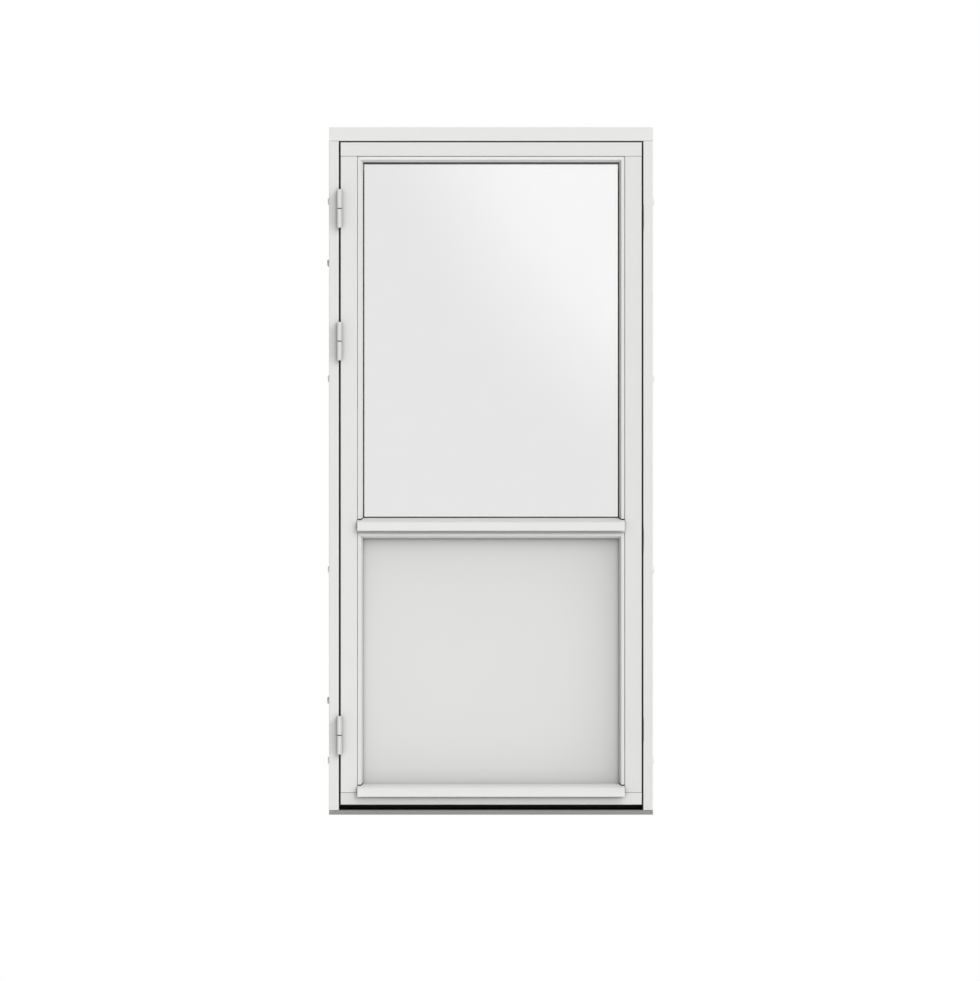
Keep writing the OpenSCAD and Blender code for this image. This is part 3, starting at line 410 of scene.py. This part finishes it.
# Hinges: three pairs of steel halves, coated white, let into jamb and stile. The upper half turns with the
# leaf on a steel pin, with a black washer between the knuckles. Three countersunk screws hold each plate.
HINGE_LENGTH, HINGE_SCREW_SHARE, HINGE_SCREW_Y = 0.116, 0.36, -0.03525
HINGE_SCREW_ZS = (HINGE_ZS[:, None] + HINGE_LENGTH * HINGE_SCREW_SHARE * np.array((-1, 0, 1))).ravel()
# The hinges' white gets painted shade in its creases and on the knuckles' flank towards the leaf.
HINGE_WHITE, HINGE_LIGHT, HINGE_CREASE_SHADE = (0.79, 0.79, 0.78), (0.82, 0.82, 0.81), 0.30
SHADED_FLANK_X, FLANK_SHADE_DEPTH = (-0.4580, -0.4530), 0.27
DRIVE_R, DRIVE_LOBE, DRIVE_LIP, DRIVE_FLOOR = 0.00175, 0.00028, 0.00012, 0.9
RIM_R, SCREW_HEAD_R, NECK_R = 0.0037, 0.0040, 0.0020
HEAD_DIPS = (-0.0016, -0.0016, -0.0015, -0.0001, 0, 0, -0.00022, -0.0020)
SHANK_TOP, SHANK_END, SCREW_END = -0.0026, -0.0246, -0.0250
SCREW_STEPS, SHANK_ROWS = 36, 52
CORE_R, RIDGE, SCREW_PITCH, POINT_LENGTH, POINT_SHARE = 0.0013, 0.0007, 0.0018, 0.006, 0.02


def countersunk(points, facing):
    """Screws turned about their axes: a drive wall with radius 1.75 + 0.28 cos 6a millimetres, a flat rim,
    the cone, and a shank whose thread is a sawtooth of row - turn that tapers to the point."""
    turn = full_turn(SCREW_STEPS)
    lobe = DRIVE_R + DRIVE_LOBE * np.cos(6 * turn)
    head = hoops(turn, 0, DRIVE_FLOOR * lobe, lobe, lobe, lobe + DRIVE_LIP, RIM_R, SCREW_HEAD_R, NECK_R)
    down = np.linspace(SHANK_TOP, SHANK_END, SHANK_ROWS)[:, None]
    taper = np.clip((down - SCREW_END) / POINT_LENGTH, POINT_SHARE, 1)
    saw = 1 - 2 * np.abs((down / SCREW_PITCH + turn / (2 * np.pi)) % 1 - 0.5)
    radius = np.concatenate((head, taper * (CORE_R + RIDGE * saw), hoops(turn, 0)))
    height = np.concatenate((hoops(turn, *HEAD_DIPS), down + 0 * turn, hoops(turn, SCREW_END)))
    facing = np.array(facing, float)
    side = np.array((0.0, 0.0, 1.0))
    shape = height[..., None] * facing + radius[..., None] * (
        np.cos(turn)[:, None] * side + np.sin(turn)[:, None] * np.cross(facing, side))
    return np.array(points)[:, None, None] + shape[None]


def column(x, y, heights):
    """Points at one X and Y and several heights."""
    return np.stack((x + 0 * heights, y + 0 * heights, heights), 1)


def coated_steel(wire):
    """Powder coat on steel: two near whites, an orange peel of 1.2 mm that also moves the gloss, and painted
    shade on the flank at the leaf's side of the knuckles and in the creases."""
    drift = noise(wire, EVEN, size=0.05)
    peel = noise(wire, EVEN, size=0.0012)
    white_left = 1.0 - FLANK_SHADE_DEPTH * between(wire, coordinate(wire, "X"), *SHADED_FLANK_X)
    white = toned(wire, two_tone(wire, drift, HINGE_WHITE, HINGE_LIGHT), white_left)
    return dict(colour=shade_creases(wire, white, HINGE_CREASE_SHADE), roughness=0.26 + 0.10 * peel,
                height=peel, relief=0.00004)


levels = ("top", "middle", "bottom")
hinge_halves = [f"{half}_hinge_{level}" for half in ("frame", "leaf") for level in levels]
jamb_points = column(-JAMB_INNER_X, HINGE_SCREW_Y, HINGE_SCREW_ZS)
stile_points = column(LEAF_LOW[0], HINGE_SCREW_Y, HINGE_SCREW_ZS)
dress(coating("white_coated_steel", coated_steel), hinge_halves)
dress(zinc, ("hinge_pins",))
dress(rubber, ("hinge_washers",))
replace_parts(skin("jamb_hinge_screws", countersunk(jamb_points, (1, 0, 0)), zinc, "frame"),
            "frame_hinge_screws")
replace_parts(skin("stile_hinge_screws", countersunk(stile_points, (-1, 0, 0)), zinc, "leaf"),
            "leaf_hinge_screws")

# Strike plates: three pieces of zinc-plated strip let into the lock jamb, each with a slot for its bolt and
# two countersunk screws.
BOLT_ZS = np.array((1.807, 0.832, 0.258))
LOCK_Y, STRIKE_FACE_X, PLATE_EASE = -0.0220, 0.461, 0.0003
STRIKE_LENGTH, STRIKE_SCREW_SHARE = 0.072, 0.38
STRIKE_SCREW_ZS = (BOLT_ZS[:, None] + STRIKE_LENGTH * STRIKE_SCREW_SHARE * np.array((-1, 1))).ravel()
strike_points = column(STRIKE_FACE_X, LOCK_Y, STRIKE_SCREW_ZS)
dress(zinc, ("strike_plates",), PLATE_EASE)
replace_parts(skin("strike_plate_screws", countersunk(strike_points, (-1, 0, 0)), zinc, "frame"),
            "strike_screws")

# Leaf: two pine stiles between a top and a bottom rail, with a middle rail between the stiles. The members
# are jointed and glued, a fine groove is left at each joint, and the whole is sprayed as the frame is.
BOTTOM_RAIL_H, TOP_RAIL_H = 0.037, 0.043
JOINT_ZS = (LEAF_LOW[1] + BOTTOM_RAIL_H, LEAF_HIGH[1] - TOP_RAIL_H)
JOINT_HALF, JOINT_DEPTH = (0.0010, 0.0005), 0.6
SIDE_ARRIS_X = LEAF_LOW[0] + 0.0017, LEAF_LOW[0] + 0.0002
TOP_ARRIS_Z = LEAF_HIGH[1] - 0.0019, LEAF_HIGH[1] - 0.0002
TOP_ARRIS_SHADE = 0.9
# Painted shadow of the drip bead on the bottom rail, and darker at the hinge end.
DRIP_SHADOW_DEPTH, DRIP_SHADOW_REACH, DRIP_SHADOW_END_X = 0.15, 0.045, (0.411, 0.375)
HINGE_END_X, HINGE_END_DEPTH = (-0.396, -0.412), 0.07
# The lock stile and the top rail get darker copies of the paint, painted shade; the lock stile has less
# painted shade in its creases.
LOCK_STILE_PAINTED_SHADE, LOCK_STILE_CREASE_SHADE, TOP_RAIL_PAINTED_SHADE = 0.977, 0.3, 0.988


def fading(wire, distance, *layers):
    """White left at a distance from an edge: 1 less depth e^(-distance / reach) for each (depth, reach)."""
    white = 1.0
    for depth, reach in layers:
        white = white - depth * wire.math("EXPONENT", distance * (-1 / reach))
    return white


def jointed(wire, tone=1.0):
    """White left on the leaf: the tone, less painted shade on the arris at the hinge side and dirt in the
    joints.
    """
    white = tone * shaded_arris(wire, "X", SIDE_ARRIS_X, HINGE_ARRIS_SHADE)
    for height in JOINT_ZS:
        away = wire.math("ABSOLUTE", coordinate(wire, "Z") - height)
        white = white - JOINT_DEPTH * between(wire, away, *JOINT_HALF)
    return white


def drip_shadowed(wire):
    """White left on the bottom rail: a painted shadow of the drip bead, greyest low down along it, and greyer
    at the hinge end.
    """
    x = coordinate(wire, "X")
    hinge_end = between(wire, x, *HINGE_END_X)
    along = between(wire, x, *HINGE_END_X[::-1]) * between(wire, x, *DRIP_SHADOW_END_X)
    drip_shade = 1.0 - fading(wire, coordinate(wire, "Z") - LEAF_LOW[1], (DRIP_SHADOW_DEPTH, DRIP_SHADOW_REACH))
    return jointed(wire, 1.0 - drip_shade * along - HINGE_END_DEPTH * hinge_end)


def top_arris_shaded(wire):
    """White left on the top rail: painted shade on its upper arris too."""
    return jointed(wire, TOP_RAIL_PAINTED_SHADE * shaded_arris(wire, "Z", TOP_ARRIS_Z, TOP_ARRIS_SHADE))


cross_paint = paint("white_paint_cross", ACROSS)
dress(paint("white_paint_hinge_stile", UPRIGHT, jointed), ("hinge_stile",))
dress(paint("white_paint_lock_stile", UPRIGHT, lambda wire: jointed(wire, LOCK_STILE_PAINTED_SHADE),
            LOCK_STILE_CREASE_SHADE), ("lock_stile",))
dress(paint("white_paint_top_rail", ACROSS, top_arris_shaded), ("top_rail",))
dress(paint("white_paint_bottom_rail", ACROSS, drip_shadowed), ("bottom_rail",))
dress(cross_paint, ("mid_rail",))

# Weather strip: black rubber in a groove round the leaf's sides and top, with two fins that nearly reach
# the frame and close the gap.
STRIP_Y, STRIP_OUT_HINGE, STRIP_OUT_LOCK, STRIP_OUT_TOP = -0.0470, 0.0034, 0.0029, 0.0019
FINS = np.array([(0.0, 0.0), (0.0, 0.25), (0.0004, 1.0), (0.0010, 1.0), (0.0018, 0.35), (0.0030, 0.30),
                 (0.0042, 0.35), (0.0050, 1.0), (0.0056, 1.0), (0.0060, 0.25), (0.0060, 0.0)])


def strip_round(section):
    """Section points (depth, share of the gap) carried up one side, over the top and down the other, with
    both ends drawn together to a point so that they are closed."""
    depth, share = section[:, :1], section[:, 1:]
    left, right = LEAF_LOW[0] - STRIP_OUT_HINGE * share, LEAF_HIGH[0] + STRIP_OUT_LOCK * share
    top, low = LEAF_HIGH[1] + STRIP_OUT_TOP * share, LEAF_LOW[1] + 0 * share
    mid_left, mid_right, mid_depth = (np.mean(row) + 0 * share for row in (left, right, depth))
    x = np.concatenate((mid_left, left, left, right, right, mid_right), 1)
    y = STRIP_Y + np.concatenate((mid_depth, depth, depth, depth, depth, mid_depth), 1)
    z = np.concatenate((low, low, top, top, low, low), 1)
    return np.stack((x, y, z), -1).transpose(1, 0, 2)[None]


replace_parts(skin("leaf_fin_strip", strip_round(FINS), rubber, "leaf"), "leaf_weather_seal")

# Sealed unit: three sheets of float glass with two spacer frames between them, bedded on tape against the
# lip and carried on plastic blocks. The black gasket under the beads is made greyer along the top.
GLASS_DARK, GLASS_LIGHT = (0.957, 0.957, 0.957), (0.963, 0.963, 0.963)
SPACER_DARK, SPACER_LIGHT = (0.34, 0.34, 0.35), (0.46, 0.46, 0.46)
BLOCK_LIGHT, BLOCK_DARK = (0.22, 0.22, 0.22), (0.16, 0.16, 0.16)
GASKET_TOP_GREY, GASKET_GREY_ZS = (0.130, 0.130, 0.128), (1.945, 1.955)
BLOCK_EASE = 0.0005


def float_glass(wire):
    """Clear glass: nearly no colour, no relief, and a film of dust that only just moves the gloss."""
    film = noise(wire, EVEN, size=0.08, detail=3.0)
    return dict(colour=two_tone(wire, film, GLASS_DARK, GLASS_LIGHT), roughness=0.004 * film,
                height=film, relief=0.0)


def rolled_spacer(wire):
    """Rolled spacer bar in dull grey, with fine lines along the bar."""
    lines = noise(wire, (0.02, 1, 0.02), size=0.0006)
    return dict(colour=two_tone(wire, lines, SPACER_DARK, SPACER_LIGHT), roughness=0.36 + 0.1 * lines,
                height=lines, relief=0.00003)


def gasket_rubber(wire):
    """The black rubber of the seals, greyer along the top."""
    finish = moulded_rubber(wire)
    top_grey = between(wire, coordinate(wire, "Z"), *GASKET_GREY_ZS)
    return {**finish, "colour": two_tone(wire, top_grey, finish["colour"], GASKET_TOP_GREY)}


glass = coating("clear_glass", float_glass, Transmission_Weight=1.0, IOR=1.5)
dress(glass, ("outer_pane", "middle_pane", "inner_pane"))
dress(coating("spacer_bar", rolled_spacer, Metallic=0.7), ("outer_spacer", "inner_spacer"))
dress(coating("black_gasket", gasket_rubber, Specular_IOR_Level=RUBBER_SHINE), ("glass_gasket",))
dress(rubber, ("glass_tape", "bead_pads"))
dress(coating("grey_plastic", moulded_plastic(BLOCK_LIGHT, BLOCK_DARK)), ("setting_blocks",), BLOCK_EASE)

# Glazing beads: painted pine strips with a flat and a slope, mitred at the top, shaped over the drip bead
# below, and pinned to the stiles and rails.
BEAD_SLOPE_X, BEAD_SLOPE_DEPTH, BEAD_EASE = (0.3955, 0.3890), 0.26, 0.0006
# The top bead's white is a lighter copy of the paint, painted light on its downward slope, with less painted
# shade in its creases.
TOP_BEAD_PAINTED_LIGHT, TOP_BEAD_CREASE_SHADE = 1.06, 0.1


def shaded_slope(wire):
    """White left on a side bead: 1 on its flat, and less down the slope beside the glass or the panel."""
    from_middle = wire.math("ABSOLUTE", coordinate(wire, "X"))
    return 1.0 - BEAD_SLOPE_DEPTH * between(wire, from_middle, *BEAD_SLOPE_X)


dress(paint("white_paint_upright", UPRIGHT), ("glass_bead_left",), BEAD_EASE)
dress(paint("white_paint_side_bead", UPRIGHT, shaded_slope),
      ("glass_bead_right", "panel_bead_left", "panel_bead_right"), BEAD_EASE)
dress(paint("white_paint_top_bead", ACROSS, lambda wire: TOP_BEAD_PAINTED_LIGHT, TOP_BEAD_CREASE_SHADE),
      ("glass_bead_top",), BEAD_EASE)
dress(cross_paint, ("panel_bead_top",), BEAD_EASE)

# Drip beads: aluminium extrusions, powder coated white, that close the bottom of the glass and of the panel.
# The sloping top sheds water over a skirt with a return lip.
DRIP_WHITE, DRIP_LIGHT = (0.815, 0.815, 0.795), (0.845, 0.845, 0.825)
# The lower drip bead's coat is a lighter copy, painted light, with painted shade below its upper edge.
LOWER_DRIP_TOP_Z, LOWER_DRIP_PAINTED_LIGHT, LOWER_DRIP_SHADE = 0.0945, 1.02, (0.30, 0.007)
DRIP_EASE = 0.0006


def coated_extrusion(white_left):
    """Powder coat on an extrusion: orange peel of 1.5 mm over faint die lines along X. white_left(wire) is
    the share of white in each place."""
    def draw(wire):
        peel = noise(wire, EVEN, size=0.0015)
        lines = noise(wire, (0.01, 1, 1), size=0.0012)
        drift = noise(wire, EVEN, size=0.2)
        white = toned(wire, two_tone(wire, drift, DRIP_WHITE, DRIP_LIGHT), white_left(wire))
        # Creases get painted shade.
        return dict(colour=shade_creases(wire, white, PAINT_CREASE_SHADE), roughness=0.30 + 0.10 * peel,
                    height=0.7 * peel + 0.3 * lines, relief=0.00004)
    return draw


def shaded_drip(wire):
    """White left on the lower drip bead: a lighter copy of the coat, painted light, and painted shade down
    from its upper edge, under the panel.
    """
    return LOWER_DRIP_PAINTED_LIGHT * fading(wire, LOWER_DRIP_TOP_Z - coordinate(wire, "Z"), LOWER_DRIP_SHADE)


dress(coating("white_coated_aluminium", coated_extrusion(clean)), ("glass_drip",), DRIP_EASE)
dress(coating("white_coated_lower_drip", coated_extrusion(shaded_drip)), ("panel_drip",), DRIP_EASE)

# Panel: a flat insulated board with smooth white faces, held in its rebate by the beads. Painted shade greys
# its paint along the beads and the drips, most on the right and at the top.
PANEL_LEFT, PANEL_RIGHT, PANEL_LOW, PANEL_TOP = -0.3845, 0.3850, 0.0945, 0.8390
PANEL_WHITE, PANEL_LIGHT = (0.770, 0.770, 0.755), (0.795, 0.795, 0.780)
LEFT_SHADE = (0.112, 0.004), (0.054, 0.100)
RIGHT_SHADE = ((0.243, 0.077),)
TOP_SHADE = (0.430, 0.016), (0.165, 0.110)
LOW_SHADE = ((0.165, 0.079),)


def sprayed_board(wire):
    """Sprayed board: a fine orange peel of 1.4 mm, a slow drift in colour and gloss, and painted shade: white
    that fades by the product of the fading from the four edges, and darker in creases."""
    drift = noise(wire, EVEN, size=0.4)
    peel = noise(wire, EVEN, size=0.0014)
    x, z = coordinate(wire, "X"), coordinate(wire, "Z")
    across = fading(wire, x - PANEL_LEFT, *LEFT_SHADE) * fading(wire, PANEL_RIGHT - x, *RIGHT_SHADE)
    up_down = fading(wire, PANEL_TOP - z, *TOP_SHADE) * fading(wire, z - PANEL_LOW, *LOW_SHADE)
    white = toned(wire, two_tone(wire, drift, PANEL_WHITE, PANEL_LIGHT), across * up_down)
    return dict(colour=shade_creases(wire, white, PAINT_CREASE_SHADE), roughness=0.40 + 0.08 * drift + 0.05 * peel,
                height=peel, relief=0.00004)


dress(coating("white_painted_board", sprayed_board), ("panel",))

# Lock: a plated face plate let into the lock stile and held by six screws, and behind it the case, the
# follower, the rail with slanted slots and the three bolts that it drives.
PLATE_SCREW_ZS = np.array((0.238, 0.545, 0.932, 1.068, 1.4035, 1.827))
BOLT_EASE = 0.0004
dress(zinc, ("lock_face_plate", "lock_case", "handle_spindle", "lock_follower", "lock_rail"), PLATE_EASE)
dress(zinc, ("top_bolt", "middle_bolt", "bottom_bolt"), BOLT_EASE)
plate_points = column(LEAF_HIGH[0], LOCK_Y, PLATE_SCREW_ZS)
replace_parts(skin("face_plate_fixings", countersunk(plate_points, (1, 0, 0)), zinc, "leaf"),
            "face_plate_screws")

# Handle: a cast lever on a square spindle, turning in a rose that is screwed to the stile on the room side.
# Both are brushed and lacquered to a satin grey.
SPINDLE_X, SPINDLE_Z = 0.428, 1.000
ROSE_Y, ROSE_EASE, ROSE_LENGTH, ROSE_SCREW_SHARE = 0.0200, 0.0012, 0.068, 0.36
LEVER_BACK_Y, LEVER_STEPS, LEVER_ROWS = 0.0500, 48, 90
LEVER_REACH, ROOT_R, TIP_R = 0.120, 0.010, 0.0075
ROOT_HALF_T, TIP_HALF_T, END_POWER, GRIP_POWER = 0.0055, 0.0040, 0.35, 2.8
STEM_Y, STEM_R, STEM_FLARE, FLARE_FROM, STEM_CAP = (0.0131, 0.0440), 0.0088, 0.0009, 0.75, 60
SATIN_DARK, SATIN_LIGHT = (0.50, 0.50, 0.49), (0.58, 0.58, 0.57)


def satin_metal(wire):
    """Satin lacquer on cast metal: brush lines along Z that move the gloss, over a slow drift in colour."""
    brush = noise(wire, UPRIGHT, size=0.0005, detail=3.0)
    drift = noise(wire, EVEN, size=0.03)
    return dict(colour=two_tone(wire, drift, SATIN_DARK, SATIN_LIGHT), roughness=0.28 + 0.14 * brush,
                height=brush, relief=0.00002)


def lever_skins():
    """Grip and stem. The grip is a superellipse whose half width and half thickness taper along Z, with both
    ends rounded by sqrt(1 - t^2). The stem is turned about Y, flares into the grip and has closed ends."""
    turn = full_turn(LEVER_STEPS)
    ease = 0.5 - 0.5 * np.cos(np.linspace(0, np.pi, LEVER_ROWS))[:, None]
    reach = (LEVER_REACH + ROOT_R) * ease - ROOT_R
    straight = LEVER_REACH - TIP_R
    root = np.sqrt(np.clip(1 - (np.clip(-reach, 0, None) / ROOT_R) ** 2, 0, 1))
    tip = np.sqrt(np.clip(1 - (np.clip(reach - straight, 0, None) / TIP_R) ** 2, 0, 1))
    taper = np.clip(reach / straight, 0, 1)
    half_w = (ROOT_R - (ROOT_R - TIP_R) * taper) * root * tip
    full_t = ROOT_HALF_T - (ROOT_HALF_T - TIP_HALF_T) * taper
    half_t = full_t * (root * tip) ** END_POWER
    bulge = (np.abs(np.cos(turn)) ** GRIP_POWER + np.abs(np.sin(turn)) ** GRIP_POWER) ** (-1 / GRIP_POWER)
    grip = np.stack((
        SPINDLE_X + half_w * bulge * np.cos(turn),
        LEVER_BACK_Y - full_t + half_t * bulge * np.sin(turn),
        SPINDLE_Z + reach + 0 * turn), -1)
    rise = np.linspace(0, 1, LEVER_ROWS)[:, None]
    flare = STEM_R + STEM_FLARE * np.clip((rise - FLARE_FROM) / (1 - FLARE_FROM), 0, 1) ** 2
    stem_r = flare * np.clip(np.minimum(rise, 1 - rise) * STEM_CAP, 0, 1)
    stem_y = STEM_Y[0] + (STEM_Y[1] - STEM_Y[0]) * np.clip((rise * STEM_CAP - 1) / (STEM_CAP - 2), 0, 1)
    stem = np.stack((
        SPINDLE_X + stem_r * np.cos(turn), stem_y + 0 * turn, SPINDLE_Z + stem_r * np.sin(turn)), -1)
    return np.stack((grip, stem))


satin = coating("satin_metal", satin_metal, Metallic=1.0)
dress(satin, ("handle_rose",), ROSE_EASE)
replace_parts(skin("lever", lever_skins(), satin, "handle"), "lever_handle")
rose_points = column(SPINDLE_X, ROSE_Y, SPINDLE_Z + ROSE_LENGTH * ROSE_SCREW_SHARE * np.array((-1, 1)))
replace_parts(skin("rose_fixings", countersunk(rose_points, (0, 1, 0)), zinc, "leaf"),
            "rose_screws")

# Studio: a white paper floor that runs out to a white backdrop, a broad soft light from the upper right,
# weaker ones from the front and from behind, a pale surround with a soft window in it for the glass to
# reflect, and a long lens square on to the door.
CAMERA_BACK, FRONT_Y, SENSOR, VIEW_END = 10.0, -0.0575, 36.0, 200.0
VIEW_X, VIEW_Z, VIEW_HEIGHT = -0.0030, 0.9807, 2.9675
FLOOR_HALF, PAPER_DARK, PAPER_LIGHT = 40, (0.78, 0.78, 0.78), (0.82, 0.82, 0.82)
WHITE = (1, 1, 1, 1)
SURROUND, WINDOW = 0.32, 0.70
WINDOW_RISE, WINDOW_BEND, WINDOW_EDGE, WINDOW_AHEAD = 1.58, 21.0, (0.046, 0.193), -0.9


def seen_straight(wire):
    """1 for a ray from the lens that has met nothing or only gone through glass, and 0 for any other ray."""
    glossy, diffuse, through, first = (wire.node("LightPath", {}, {}, fact) for fact in (
        "Glossy Depth", "Diffuse Depth", "Is Transmission Ray", "Is Camera Ray"))
    return first + through * wire.math("LESS_THAN", glossy + diffuse, 0.5)


def distant_light(name, azimuth, elevation, spread, strength):
    """Broad light from far away: azimuth is turned right of the lens, elevation up from it, in degrees."""
    lamp = bpy.data.lights.new(name, "SUN")
    lamp.energy, lamp.angle = strength, math.radians(spread)
    holder = bpy.data.objects.new(name, lamp)
    holder.rotation_euler = (math.radians(90 - elevation), 0, math.radians(azimuth))
    bpy.context.scene.collection.objects.link(holder)
    holder.visible_glossy = False


floor_mesh = bpy.data.meshes.new("floor")
corners = [(x * FLOOR_HALF, y * FLOOR_HALF, 0) for x, y in ((-1, -1), (1, -1), (1, 1), (-1, 1))]
floor_mesh.from_pydata(corners, [], [(0, 1, 2, 3)])
floor = bpy.data.objects.new("floor", floor_mesh)
bpy.context.scene.collection.objects.link(floor)
floor.visible_shadow = False

pale_floor = bpy.data.materials.new("pale_floor")
floor_mesh.materials.append(pale_floor)
pale_floor.use_nodes = True
pale_floor.node_tree.nodes.clear()
ground = Wire(pale_floor.node_tree)
mottle = noise(ground, EVEN, size=0.4)
paper = ground.node("BsdfDiffuse", {}, {"Color": two_tone(ground, mottle, PAPER_DARK, PAPER_LIGHT)})
shine = ground.node("Emission", {}, {"Color": WHITE, "Strength": 1.0})
mixed = ground.node("MixShader", {}, {0: seen_straight(ground), 1: paper, 2: shine})
ground.node("OutputMaterial", {}, {"Surface": mixed})

world = bpy.data.worlds.new("studio")
world.use_nodes = True
world.node_tree.nodes.clear()
air = Wire(world.node_tree)
heading = air.node("TexCoord", {}, {}, "Generated")
right, toward, up = (air.node("SeparateXYZ", {}, {"Vector": heading}, axis) for axis in "XYZ")
lobe = between(air, right + WINDOW_RISE * up + WINDOW_BEND * right * up, *WINDOW_EDGE)
around = SURROUND + WINDOW * lobe * air.math("LESS_THAN", toward, WINDOW_AHEAD)
backdrop = air.node("Mix", {}, {0: seen_straight(air), 2: around, 3: 1.0})
glow = air.node("Background", {}, {"Color": WHITE, "Strength": backdrop})
air.node("OutputWorld", {}, {"Surface": glow})
bpy.context.scene.world = world

distant_light("key", azimuth=44, elevation=35, spread=42, strength=1.93)
distant_light("fill", azimuth=-20, elevation=4, spread=90, strength=0.455)
distant_light("back", azimuth=205, elevation=30, spread=60, strength=1.3)

lens = bpy.data.cameras.new("camera")
lens.sensor_width, lens.lens = SENSOR, SENSOR * CAMERA_BACK / VIEW_HEIGHT
lens.clip_end = VIEW_END
camera = bpy.data.objects.new("camera", lens)
camera.location = (VIEW_X, FRONT_Y - CAMERA_BACK, VIEW_Z)
camera.rotation_euler = (math.pi / 2, 0, 0)
bpy.context.scene.collection.objects.link(camera)
bpy.context.scene.camera = camera
bpy.context.scene.view_settings.view_transform = "Standard"
